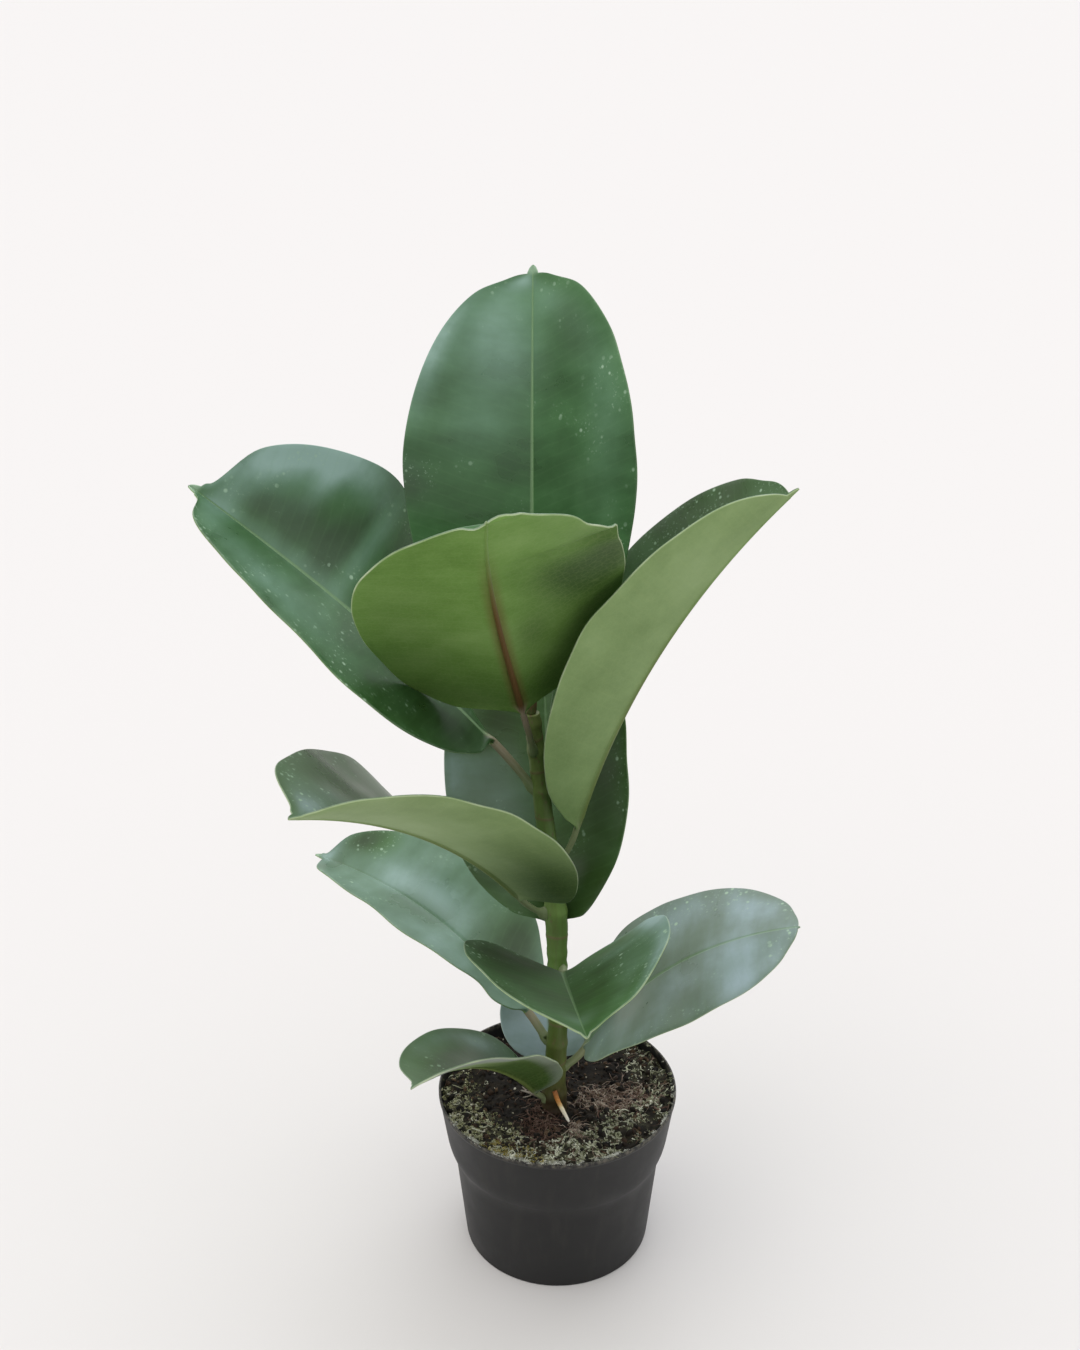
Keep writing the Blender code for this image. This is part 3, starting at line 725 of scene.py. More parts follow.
def buildStem():
    s = stemSetup
    dice = random.Random(21)
    turn = circle(s["sides"])
    nodes = [leaf["height"] for leaf in leafSet.values()]
    pores = [(dice.uniform(s["lowestLenticel"], s["top"]), dice.uniform(0, 2 * math.pi),
              dice.uniform(*s["lenticelSize"])) for _ in range(s["lenticels"])]
    rings, scars = [], []
    for h in np.arange(s["bottom"], s["top"] + 0.01, s["step"]):
        radius = stemRadius(h) + s["flare"] * math.exp(-max(0, h - s["level"]) / s["flareReach"])
        radius += s["nodeSwelling"] * sum(math.exp(-(((h - n) / s["nodeReach"]) ** 2)) for n in nodes)
        ring = np.full(s["sides"], radius + float(np.interp(h, *s["fuller"])))
        scar = np.zeros(s["sides"])
        for n in s["scarRings"]:
            # the line left round the stem by a fallen bud sheath, a little aslant
            off = h - n - s["scarAslant"] * np.cos(turn + n)
            ring += (s["scarRise"] * np.exp(-((off / 0.9) ** 2))
                     - s["scarHollow"] * np.exp(-(((off - 1.1) / 0.4) ** 2)))
            scar += 0.85 * np.exp(-((off / 0.55) ** 2))
        for n, way, size in pores:
            if abs(h - n) < 2:
                gap = (turn - way + math.pi) % (2 * math.pi) - math.pi
                blob = np.exp(-((gap * radius / size) ** 2) - ((h - n) / (size * 1.7)) ** 2)
                ring += 0.13 * blob
                scar += 0.9 * blob
        # fine ridges along the stem, and rough cork near the soil
        cork = s["cork"] * max(0.0, 1 - (h - s["level"]) / s["corkReach"])
        for j, t in enumerate(turn):
            ring[j] += s["ridges"] * noise.noise(Vector((math.cos(t) * 3.5, math.sin(t) * 3.5, h / 22)))
            ring[j] += cork * noise.noise(Vector((math.cos(t) * 4, math.sin(t) * 4, h / 2.5)))
        axis = stemAxis(h)
        rings.append(levelRing(ring, turn, h, axis[0] + stemSwing(h), axis[1]))
        scars.append(np.clip(scar, 0, 1))
    # rounded end under the bud
    last, centre = rings[-1], rings[-1].mean(0)
    for share in (0.5, 0.8, 0.97):
        rings.append(centre + (last - centre) * math.sqrt(1 - share * share))
        scars.append(scars[-1])
    addPiece("stem_bark", np.concatenate(rings), stackFaces(len(rings), s["sides"]), [barkMaterial()],
             "main_stem", attributes={"scar": np.concatenate(scars)})
    print("stem:", len(rings), "rings")


# bud: the sheathed tip that holds the next leaf

budSetup = {
    "radius": 2.6, "profile": ((0, 0.85), (0.12, 1), (0.35, 0.86), (0.6, 0.58), (0.82, 0.3), (1, 0.08)),
    "sides": 48, "rings": 70, "seam": 0.16, "seamTurns": 0.8, "seamDepth": 0.12, "lean": (-1.0, 0.3),
}


def sheathMaterial():
    # the rolled stipule round the bud: thin waxy skin, rose-brown fading to green at the foot
    made, add, place = startMaterial("waxyBudSheath")
    tall = add("Mapping", {"Vector": place, "Scale": (1, 1, 0.08)})
    streak = add("TexNoise", (tall, 900, 3))  # streaks 1.1 mm apart
    share = add("Attribute", output="Fac", attribute_name="share")
    mixed = add("Math", (streak, 0.35, share), operation="MULTIPLY_ADD", use_clamp=True)
    colour = add("ValToRGB", (mixed,), ramp={0.12: "#5f6e3e", 0.4: "#7d5a44", 0.75: "#8a4438", 1: "#6e3a2c"})
    return finishMaterial(made, {"Base Color": colour, "Roughness": 0.38, "IOR": 1.45}, (streak, 0.06, 0.7))


def buildBud():
    b = budSetup
    low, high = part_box("terminal_bud")
    foot, tip = low.z / mm, high.z / mm
    axis = stemAxis(stemSetup["top"])
    turn = circle(b["sides"])
    shares, radii = zip(*b["profile"])
    rings, share = [], []
    for i in range(b["rings"] + 1):
        s = i / b["rings"]
        radius = b["radius"] * np.interp(s, shares, radii)
        # the overlap of the rolled sheath winds slowly up the bud
        gap = (turn - 2 * math.pi * b["seamTurns"] * s) % (2 * math.pi)
        overlap = b["seam"] * (gap / (2 * math.pi) - 0.5) * (1 - s)
        overlap -= b["seamDepth"] * np.exp(-((gap / 0.12) ** 2))
        centre = axis[:2] + np.array(b["lean"]) * s * s
        rings.append(levelRing(radius * (1 + overlap), turn, foot + (tip - foot) * s, *centre))
        share.append(np.full(len(turn), s))
    addPiece("bud_sheath", np.concatenate(rings), stackFaces(len(rings), b["sides"]), [sheathMaterial()],
             "terminal_bud", attributes={"share": np.concatenate(share)})
    print("bud: sheathed tip")


# roots: one pale aerial root before the stem, one forked rootlet on the soil

rootSetup = {
    # points of each route, the last number its radius; those on the soil take their height from it
    "aerial": [(-1.4, -17.0, 97.6, 1.25), (0.4, -19.6, 93.5, 1.1), (2.8, -22.4, 90.0, 1.0),
               (5.0, -25.2, 87.3, 0.75), (5.9, -26.2, 86.0, 0.4)],
    "surface": [(-7.6, -8.6, 0.75), (-12, -5.2, 0.65), (-15.6, -2.6, 0.5), (-18.6, -1.0, 0.3)],
    "forks": [[(-12.5, -4.9, 0.45), (-14.2, -6.6, 0.35), (-17.4, -7.4, 0.22)],
              [(-15.6, -2.6, 0.4), (-16.4, 0.4, 0.3), (-18.0, 2.6, 0.2)]],
    "lift": 1.4, "sides": 14, "rings": 60,
    # how far along, and how pale it is there
    "aerialTones": ((0, 0.3, 0.45, 1), (0.0, 0.25, 0.7, 1.0)), "surfaceTones": ((0, 1), (0.35, 0.75)),
}


def rootMaterial():
    # soft root skin: rust brown where it leaves the bark, through cream to a chalk-white growing tip
    made, add, place = startMaterial("softRootSkin")
    tone = add("Attribute", output="Fac", attribute_name="tone")
    cloud = add("TexNoise", (place, 900, 3))  # blotches of 1.1 mm
    share = add("Math", (cloud, 0.2, tone), operation="MULTIPLY_ADD", use_clamp=True)
    colour = add("ValToRGB", (share,),
                 ramp={0.05: "#6b3a1c", 0.28: "#b9772f", 0.5: "#d9b070", 0.75: "#ead9b4", 1: "#f1ebdc"})
    return finishMaterial(made, {"Base Color": colour, "Roughness": 0.6}, (cloud, 0.08, 0.6))


def smoothRoute(route, count):
    # evenly spaced points on one smooth curve through the route
    route = np.asarray(route, float)
    knots = np.arange(len(route))
    finer = np.linspace(0, len(route) - 1, count)
    padded = np.vstack([2 * route[0] - route[1], route, 2 * route[-1] - route[-2]])
    out = []
    for t in finer:
        i = min(int(t), len(route) - 2)
        s = t - knots[i]
        p0, p1, p2, p3 = padded[i:i + 4]
        out.append(0.5 * (2 * p1 + (p2 - p0) * s + (2 * p0 - 5 * p1 + 4 * p2 - p3) * s**2
                          + (3 * p1 - p0 - 3 * p2 + p3) * s**3))
    return np.array(out)


def rootShape(route, tones, dice):
    line = smoothRoute(route, rootSetup["rings"])
    bumps = [noise.noise(Vector((k / 3.1, dice.random() * 0.2, 4))) for k in range(len(line))]
    radii = np.maximum(line[:, 3], 0.12) * (1 + 0.1 * np.array(bumps))
    # drawn in to a blunt end
    radii[-1] *= 0.3
    radii[-2] *= 0.7
    points, faces = tubeShape(line[:, :3], radii, rootSetup["sides"])
    return points, faces, np.repeat(np.interp(np.linspace(0, 1, len(line)), *tones), rootSetup["sides"])


def buildRoots():
    r = rootSetup
    dice = random.Random(33)
    mergeShapes("aerial_root_skin", [rootShape(r["aerial"], r["aerialTones"], dice)], rootMaterial(),
                "aerial_root")
    shapes = []
    for route in [r["surface"]] + r["forks"]:
        path = [(x, y, soilHeight(x, y) + radius + r["lift"], radius) for x, y, radius in route]
        shapes.append(rootShape(path, r["surfaceTones"], dice))
    # a rootlet that has dried on the soil: grey-brown, matt and wrinkled
    dry = scatterMaterial("driedRootlet", {0: "#4d443a", 0.4: "#7a7164", 0.7: "#9a9285", 1: "#bdb7aa"},
                          0.8, 900, 0.15)
    mergeShapes("surface_root_skin", shapes, dry, "surface_root")
    print("roots: one aerial, one forked on the soil")


# leaves: heights and lengths in millimetres, angles in degrees

# stalk: height on the stem, azimuth, length (petiole), rise, radius (stalk), how far it stands aside
# blade: length, width, pitch and bend, turn, roll and twist of its course, fold of its halves at the foot and
# at the tip, curl towards the margins, where it is broadest, how round its foot is, how long its drip tip is
# (drip) and how much the margins pinch before it
# from 0 to 1: warm (young), aged, bloom (wax film with painted sheen), dull, rim (pale margin), tip (pale tip),
# faint (weaker midrib), shaded (the painted shade of deep counts underneath too), ash (grey band of wax
# underneath)
# lobes and sag: half, place along, reach, and how much wider or how many degrees it folds up
# ripples: half, first and last place along, height, spacing
# film, deep and dots (wax film with painted sheen, painted shade, dried water): place along, place across, reach
# of each, strength
leafSet = {
    "leaf_01_back_low": dict(
        height=93, azimuth=97, petiole=11, rise=58, length=45, width=52, pitch=56, bend=-18, turn=0, roll=-1,
        twist=-1, fold=20, foldTip=13, curl=7, broadest=0.49, warm=0.2, aged=0.8, bloom=1.15, rim=0.2,
        film=((0.5, -0.2, 0.5, 0.9, 0.3),)),
    "leaf_02_left_low": dict(
        height=90.5, azimuth=218, petiole=8, rise=37, length=100.5, width=58, pitch=56.5, bend=-50, turn=19,
        roll=1, twist=16, fold=28, foldTip=17, curl=13, broadest=0.51, warm=0.1, aged=0.75, bloom=0.3,
        rim=1.0, foot=1.8, pinch=0.6, shaded=1, ash=1,
        lobes=((-1, 0.05, 0.07, 0.4),),
        sag=((-1, 0.62, 0.16, -7), (-1, 0.12, 0.14, 14), (1, 0.65, 0.3, -8), (1, 0.25, 0.2, -5)),
        film=((0.72, 0.8, 0.1, 0.25, 0.25), (0.3, 0.8, 0.15, 0.2, 0.3), (0.52, 0.8, 0.12, 0.16, 0.3),
              (0.36, 0.6, 0.1, 0.2, 0.4)),
        dots=((0.8, 0.4, 0.2, 0.5, 0.5),),
        deep=((0.5, 0.25, 0.2, 0.3, 0.9), (0.35, -0.4, 0.5, 0.7, 0.85), (0.15, -0.3, 0.2, 0.8, 0.9),
              (0.66, 0.15, 0.14, 0.25, 0.9))),
    "leaf_03_right_low": dict(
        stalk=1.9, height=107.5, azimuth=-5, petiole=15.8, rise=34, length=136, width=88, pitch=62.7,
        bend=-46, turn=-12, roll=10, twist=3, fold=18, foldTip=-9, curl=0, broadest=0.49, warm=0.2, aged=0.9,
        bloom=0.62, drip=0.3, rim=0.25, foot=1.8, pinch=0.15,
        lobes=((-1, 0.12, 0.13, -0.24), (-1, 0.54, 0.07, -0.04), (1, 0.46, 0.12, 0.04)),
        film=((0.7, 0.05, 0.09, 0.4, 0.35), (0.81, 0.2, 0.06, 0.4, 0.35), (0.93, 0.2, 0.07, 0.7, 0.4),
              (0.6, -0.7, 0.25, 0.35, 0.38), (0.79, 0.8, 0.12, 0.28, 0.55), (0.82, -0.55, 0.09, 0.35, 0.4),
              (0.53, 0.3, 0.1, 0.3, 0.4), (0.35, 0.6, 0.15, 0.4, 0.12)),
        dots=((0.7, -0.85, 0.3, 0.25, 1.0), (0.9, 0.5, 0.1, 0.5, 0.7)),
        deep=((0.15, 0.2, 0.16, 0.9, 0.5), (0.5, -0.2, 0.1, 0.3, 0.25), (0.6, 0.75, 0.1, 0.25, 0.25))),
    "leaf_04_left_back": dict(
        stalk=2.1, height=122, azimuth=145, petiole=15, rise=52, length=140, width=79, pitch=41, bend=-37,
        turn=12, roll=15, twist=-16, fold=17, foldTip=19, curl=8, broadest=0.5, warm=0.6, aged=0.4, bloom=0.7,
        drip=0.8, rim=0.3, pinch=0.75, tip=1.0, faint=0.65,
        lobes=((1, 0.21, 0.07, 0.13), (1, 0.3, 0.06, 0.14), (-1, 0.66, 0.16, -0.14), (-1, 0.17, 0.06, -0.2)),
        sag=((-1, 0.6, 0.3, -8), (-1, 0.12, 0.08, -8)),
        film=((0.53, 0.28, 0.15, 0.26, 0.72), (0.38, 0.0, 0.08, 0.3, 0.2), (0.66, 0.05, 0.06, 0.25, 0.2),
              (0.4, -0.6, 0.2, 0.35, 0.2), (0.22, 0.6, 0.13, 0.5, -0.75), (0.84, 0.75, 0.08, 0.35, -0.9),
              (0.95, 0.3, 0.03, 0.9, 0.8)),
        dots=((0.87, 0.2, 0.1, 0.6, 1.0), (0.7, -0.7, 0.2, 0.3, 0.5)),
        deep=((0.86, 0.72, 0.06, 0.35, 1.0), (0.2, 0.6, 0.13, 0.5, 1.0), (0.08, 0.2, 0.1, 0.9, 0.5))),
    "leaf_05_front_low": dict(
        height=166.1, azimuth=-90, petiole=20, rise=28, length=113, width=98, pitch=33.6, bend=-24, turn=10,
        aside=5.2, roll=4, twist=-2, fold=22, foldTip=22, curl=11, broadest=0.49, warm=0.1, aged=0.4,
        bloom=0.03, dull=0.4, rim=0.6, faint=0.25,
        lobes=((-1, 0.05, 0.07, -0.4), (-1, 0.6, 0.35, 0.09)),
        sag=((-1, 0.5, 0.3, 4),),
        film=((0.38, -0.97, 0.25, 0.2, 1.35), (0.75, -0.95, 0.15, 0.13, 0.9), (0.7, -0.6, 0.2, 0.2, 0.45),
              (0.4, -0.5, 0.12, 0.2, 0.35), (0.8, 0.5, 0.2, 0.4, 0.2), (0.45, 0.97, 0.3, 0.1, 0.35),
              (0.87, 0.0, 0.05, 0.25, 0.5)),
        dots=((0.6, -0.6, 0.3, 0.35, 1.0), (0.5, 0.8, 0.3, 0.3, 0.6)),
        deep=((0.4, 0.6, 0.45, 0.45, 0.9), (0.1, 0.2, 0.3, 0.4, 0.6), (0.5, -0.3, 0.25, 0.3, 0.45))),
    "leaf_06_back": dict(
        height=173.4, azimuth=93, petiole=10, rise=60, length=157, width=100, pitch=68, bend=-18, turn=2,
        roll=-19, twist=-5, fold=23, foldTip=16, curl=9, broadest=0.51, warm=0.2, aged=0.7, bloom=0.0,
        rim=0.15, foot=1.85,
        lobes=((1, 0.0, 0.08, 0.2), (1, 0.33, 0.1, 0.03)),
        film=((0.5, -0.6, 0.35, 0.4, 0.75), (0.35, -0.2, 0.12, 0.3, 0.3), (0.3, 0.8, 0.2, 0.3, 0.14),
              (0.48, -0.95, 0.12, 0.15, 0.6), (0.64, -0.5, 0.05, 0.28, -0.8), (0.56, -0.68, 0.03, 0.2, -0.6)),
        deep=((0.4, 0.6, 0.6, 0.5, 0.42), (0.64, -0.5, 0.05, 0.3, 1.0), (0.56, -0.68, 0.03, 0.2, 0.7),
              (0.05, 0.0, 0.12, 1.0, 0.45), (0.17, -0.85, 0.06, 0.3, 0.5))),
    "leaf_07_left_front": dict(
        height=197, azimuth=224, petiole=20, rise=34, length=160.5, width=117, pitch=52.8, bend=-32.8, turn=5,
        roll=2, twist=5, fold=9, foldTip=25, curl=7, broadest=0.48, warm=0.1, aged=0.75, bloom=0.19, rim=0.6,
        pinch=0.5, shaded=1,
        sag=((1, 0.25, 0.15, -9),),
        lobes=((-1, 0.13, 0.13, -0.04), (1, 0.92, 0.06, 0.1)),
        film=((0.88, 0.6, 0.13, 0.35, 0.2), (0.62, 0.6, 0.15, 0.3, 0.1), (0.9, 0.2, 0.06, 0.28, 0.7),
              (0.78, 0.3, 0.06, 0.22, 0.45)),
        dots=((0.85, 0.4, 0.15, 0.5, 1.0),),
        deep=((0.7, 0.35, 0.1, 0.25, 0.4), (0.1, -0.7, 0.17, 0.7, 0.75), (0.27, -0.75, 0.16, 0.4, 0.4),
              (0.6, -0.7, 0.4, 0.5, 0.15))),
    "leaf_08_right": dict(
        height=220, azimuth=-7, petiole=22, rise=53, length=196, width=103, pitch=76, bend=-28, turn=-7,
        roll=8, twist=-14, fold=46, foldTip=27, curl=12, broadest=0.58, warm=0.1, aged=0.6, bloom=0.2,
        rim=0.8, foot=1.9, pinch=0.0, shaded=1,
        lobes=((1, 0.55, 0.07, 0.05), (1, 0.25, 0.12, -0.045), (1, 0.02, 0.06, -0.3), (-1, 0.94, 0.03, -0.12)),
        dots=((0.75, -0.8, 0.3, 0.4, 1.0),),
        deep=((0.8, -0.85, 0.2, 0.3, 0.4), (0.02, 0.3, 0.08, 0.6, 0.15), (0.3, 0.7, 0.2, 0.3, 0.12))),
    "leaf_09_left_high": dict(
        stalk=1.9, height=261, azimuth=190, petiole=31, rise=58, length=176, width=122, pitch=51, bend=-18,
        turn=-26, roll=-2, twist=-26, fold=-15, foldTip=38, curl=8, broadest=0.55, warm=0.7, aged=0.2,
        bloom=0.12, rim=0.25, foot=1.8, pinch=0.6, tip=0.9,
        lobes=((1, 0.6, 0.12, 0.09), (-1, 0.65, 0.17, -0.13), (-1, 0.83, 0.05, -0.07)),
        ripples=((1, 0.35, 0.4, 0.8, 12),),
        film=((0.88, 0.78, 0.09, 0.33, 1.1), (0.92, 0.05, 0.05, 0.5, 0.65), (0.76, 0.97, 0.14, 0.22, 1.0),
              (0.56, 0.5, 0.03, 0.45, 0.6), (0.72, -0.6, 0.25, 0.45, 0.6), (0.745, 0.72, 0.03, 0.25, 0.5),
              (0.43, 0.3, 0.03, 0.4, 0.35), (0.72, 0.04, 0.25, 0.07, 0.4), (0.64, 0.9, 0.07, 0.2, 0.45)),
        dots=((0.62, -0.6, 0.3, 0.5, 1.0), (0.9, 0.3, 0.08, 0.5, 0.5)),
        deep=((0.83, 0.3, 0.08, 0.2, 1.0), (0.74, 0.32, 0.05, 0.28, 0.9), (0.64, 0.35, 0.045, 0.35, 1.0),
              (0.605, 0.6, 0.018, 0.5, 0.8), (0.49, 0.6, 0.035, 0.4, 0.7), (0.66, 0.2, 0.05, 0.15, 0.4),
              (0.12, -0.2, 0.2, 1.0, 0.95), (0.36, -0.75, 0.12, 0.3, 0.3), (0.3, 0.5, 0.1, 0.4, 0.5))),
    "leaf_10_front_high": dict(
        height=281, azimuth=-108, petiole=30, rise=61, length=166, width=112, pitch=60, bend=-21, turn=24,
        roll=28, twist=-19, fold=17, foldTip=2, curl=0, broadest=0.49, warm=1.0, aged=0.05, bloom=0.1,
        drip=0.3, rim=1.0, pinch=0.0, shaded=1,
        lobes=((-1, 0.8, 0.06, -0.075), (-1, 0.69, 0.025, 0.045), (1, 0.89, 0.06, -0.02),
               (-1, 0.978, 0.012, 0.6), (1, 0.1, 0.1, 0.05)),
        sag=((-1, 0.968, 0.014, 4), (-1, 0.976, 0.003, 22), (1, 0.975, 0.004, -25), (-1, 0.685, 0.02, 3)),
        deep=((0.46, -0.75, 0.17, 0.38, 1.0), (0.62, -0.95, 0.12, 0.2, 0.6), (0.05, 0.0, 0.18, 1.0, 0.45),
              (0.45, 0.7, 0.35, 0.4, 0.3), (0.32, -0.24, 0.09, 0.16, 0.5), (0.56, -0.5, 0.1, 0.25, 0.4))),
    "leaf_11_top": dict(
        height=295, azimuth=91, petiole=32, rise=80, length=172, width=112, pitch=79, bend=-22, turn=-1,
        roll=-14, twist=-2, fold=21, foldTip=19, curl=9, broadest=0.48, warm=0.3, aged=0.1, bloom=0.12,
        rim=0.15, pinch=0.2, tip=0.8,
        lobes=((-1, 0.5, 0.12, 0.02), (1, 0.43, 0.12, 0.025)),
        film=((0.84, -0.5, 0.12, 0.5, 0.68), (0.73, -0.25, 0.08, 0.35, 0.5), (0.58, -0.4, 0.1, 0.4, 0.4),
              (0.9, 0.3, 0.05, 0.3, 0.3), (0.6, 0.75, 0.25, 0.25, 0.3), (0.75, -0.97, 0.16, 0.13, 0.8),
              (0.955, -0.3, 0.025, 0.4, 0.7)),
        dots=((0.65, 0.65, 0.3, 0.35, 0.1),),
        deep=((0.81, 0.5, 0.09, 0.35, 0.7), (0.44, -0.97, 0.08, 0.15, 0.8), (0.68, -0.8, 0.08, 0.25, 0.4),
              (0.42, 0.45, 0.1, 0.4, 0.3), (0.45, -0.7, 0.12, 0.3, 0.3))),
}

leafMake = {
    "thickness": 0.9, "petioleRadius": 1.45, "seatRadius": 2.3, "seatDepth": 0.8, "ribHeight": 1.4,
    "ribGroove": 0.45, "bladeEnd": 0.975, "dripTip": 0.05, "pinch": 0.35, "roundness": (2.2, 2.0),
    "petioleRings": 14, "bladeRings": 100, "halfPoints": 26, "ribPoints": 9, "rimPoints": 4, "slack": 4,
    "marginWave": 0.3, "marginWaveLength": 31, "unevenness": 0.8, "dimple": 0.45, "dimpleLength": 17,
    "tipSteps": (0.979, 0.984, 0.989, 0.993, 0.997, 1.0),
}


def heading(pitch, azimuth):
    return np.stack([np.cos(pitch) * np.cos(azimuth), np.cos(pitch) * np.sin(azimuth), np.sin(pitch)], -1)


def halfWidth(leaf, along):
    # a rounded oval that ends in a small blunt drip tip
    end = leafMake["bladeEnd"]
    warped = np.clip(along / end, 0, 1) ** (math.log(0.5) / math.log(leaf["broadest"]))
    stemHalf, tipHalf = leafMake["roundness"]
    foot = leaf.get("foot", stemHalf)
    power = np.where(warped < 0.5, foot + (stemHalf - foot) * smoothStep(0, 0.25, warped), tipHalf)
    oval = np.clip(1 - np.abs(2 * warped - 1) ** power, 0, 1) ** (1 / power)
    # the margins draw in just before the tip
    oval = oval * (1 - leaf.get("pinch", leafMake["pinch"]) * np.exp(-(((along - 0.96) / 0.022) ** 2)))
    drip = leafMake["dripTip"] * leaf.get("drip", 1) * np.clip((1 - along) / (1 - end), 0, 1.6) ** 0.5
    drip = np.where(along > end - 0.03, drip, 0)
    return 0.5 * leaf["width"] * (oval**5 + drip**5) ** 0.2


def sideWidth(leaf, along, sign):
    # one half's own width: each half swells and draws in by itself
    swell = sum(amount * math.exp(-(((along - middle) / reach) ** 2))
                for side, middle, reach, amount in leaf.get("lobes", ()) if side == sign)
    return float(halfWidth(leaf, np.array(along))) * (1 + swell)


def leafRings(leaf):
    # centre, side way, up way, share along the blade and share of the seat, from the stem to the tip
    azimuth, rise, pitch = (math.radians(leaf[key]) for key in ("azimuth", "rise", "pitch"))
    count = leafMake["petioleRings"]
    outward = heading(0.0, azimuth)
    level = np.array([math.sin(azimuth), -math.cos(azimuth), 0])
    centre = stemAxis(leaf["height"]) + outward * (stemRadius(leaf["height"]) - leafMake["seatDepth"])
    centre = centre + (leaf.get("aside", 0.0), 0, 0)
    # the stalk starts inside the stem, wherever the stem has swung to
    inside = stemAxis(leaf["height"]) + (stemSwing(leaf["height"]), 0, 0)
    rings = [(inside, level, np.array([0.0, 0, 1]), 0.0, 1.0), (centre, level, np.array([0.0, 0, 1]), 0.0, 1.0)]
    for i in range(1, count + 1):
        share = i / count
        slope = rise + (pitch - rise) * (share - 0.5 / count)
        centre = centre + heading(slope, azimuth) * (leaf["petiole"] + 1.1) / count
        roll = math.radians(leaf["roll"]) * share
        up = heading(slope + math.pi / 2, azimuth)
        rings.append((centre, level * math.cos(roll) - up * math.sin(roll),
                      up * math.cos(roll) + level * math.sin(roll), 0.0, max(0.0, 1 - share * 4)))
    steps = leafMake["bladeRings"]
    alongs = leafMake["bladeEnd"] * (0.5 - 0.5 * np.cos(np.pi * np.arange(steps + 1) / steps))
    alongs = np.append(alongs, leafMake["tipSteps"])

    def slopeAt(along):
        return pitch + math.radians(leaf["bend"] * along)

    for before, along in zip(alongs, alongs[1:]):
        middle = (before + along) / 2
        course = azimuth + math.radians(leaf["turn"]) * middle
        # a weak drip tip is also a short one
        stretch = leaf.get("drip", 1) if before >= leafMake["bladeEnd"] else 1
        centre = centre + heading(slopeAt(middle), course) * leaf["length"] * (along - before) * stretch
        course = azimuth + math.radians(leaf["turn"]) * along
        side = np.array([math.sin(course), -math.cos(course), 0])
        up = heading(slopeAt(along) + math.pi / 2, course)
        roll = math.radians(leaf["roll"] + leaf["twist"] * along)
        rings.append((centre, side * math.cos(roll) - up * math.sin(roll),
                      up * math.cos(roll) + side * math.sin(roll), along, 0.0))
    return rings


def bladeLift(leaf, share, outness, width, sign, waves, seed):
    # gentle swells across the blade, a wavy margin and, on some leaves, ripples on one half
    length = leaf["length"]
    drift = sum(math.sin(k * 3.1 * share + p + sign * 1.3) * a * np.sin(1.9 * outness + q)
                for k, (a, p, q) in zip((1, 2, 3), waves)) / 3 * leafMake["unevenness"]
    wave = leafMake["marginWave"] * math.sin(2 * math.pi * share * length / leafMake["marginWaveLength"] + sign
                                             + waves[0][1])
    dimple = np.array([noise.noise(Vector((share * length / leafMake["dimpleLength"], sign * o * width
                                           / leafMake["dimpleLength"], seed))) for o in outness])
    lift = drift * outness**2 + wave * outness**4 + leafMake["dimple"] * dimple * smoothStep(0.05, 0.3, outness)
    for side, first, last, deep, spacing in leaf.get("ripples", ()):
        if side == sign:
            window = float(smoothStep(first, first + 0.12, share) * (1 - smoothStep(last - 0.15, last, share)))
            turn = 2 * math.pi * (share * length / spacing - 0.35 * outness)
            lift = lift + deep * window * np.sin(turn) * smoothStep(0.15, 0.7, outness)
    return lift


def patches(leaf, key, share, across):
    # soft patches over the blade: place along, place across from -1 to 1, the reach of each, strength
    total = np.zeros(len(across))
    for along, middle, reachAlong, reachAcross, amount in leaf.get(key, ()):
        away = ((share - along) / reachAlong) ** 2 + ((across - middle) / reachAcross) ** 2
        total += amount * np.exp(-away)
    return total


def settleInBox(points, name, anchor):
    # draws a leaf in towards its foot wherever a wave of its margin would leave the plant's own bounds
    box = np.array([list(corner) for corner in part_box(name)]) / mm + [[-leafMake["slack"]], [leafMake["slack"]]]
    whole = np.array([list(corner) for corner in cadBox]) / mm
    low, high = np.maximum(box[0], whole[0] + 0.2), np.minimum(box[1], whole[1] - 0.2)
    for axis in range(3):
        reach = points[:, axis] - anchor[axis]
        over = min(1.0, (high[axis] - anchor[axis]) / max(reach.max(), 1e-6)) if reach.max() > 8 else 1.0
        under = min(1.0, (low[axis] - anchor[axis]) / min(reach.min(), -1e-6)) if reach.min() < -8 else 1.0
        points[:, axis] = anchor[axis] + reach * np.where(reach > 0, over, under)
    return points


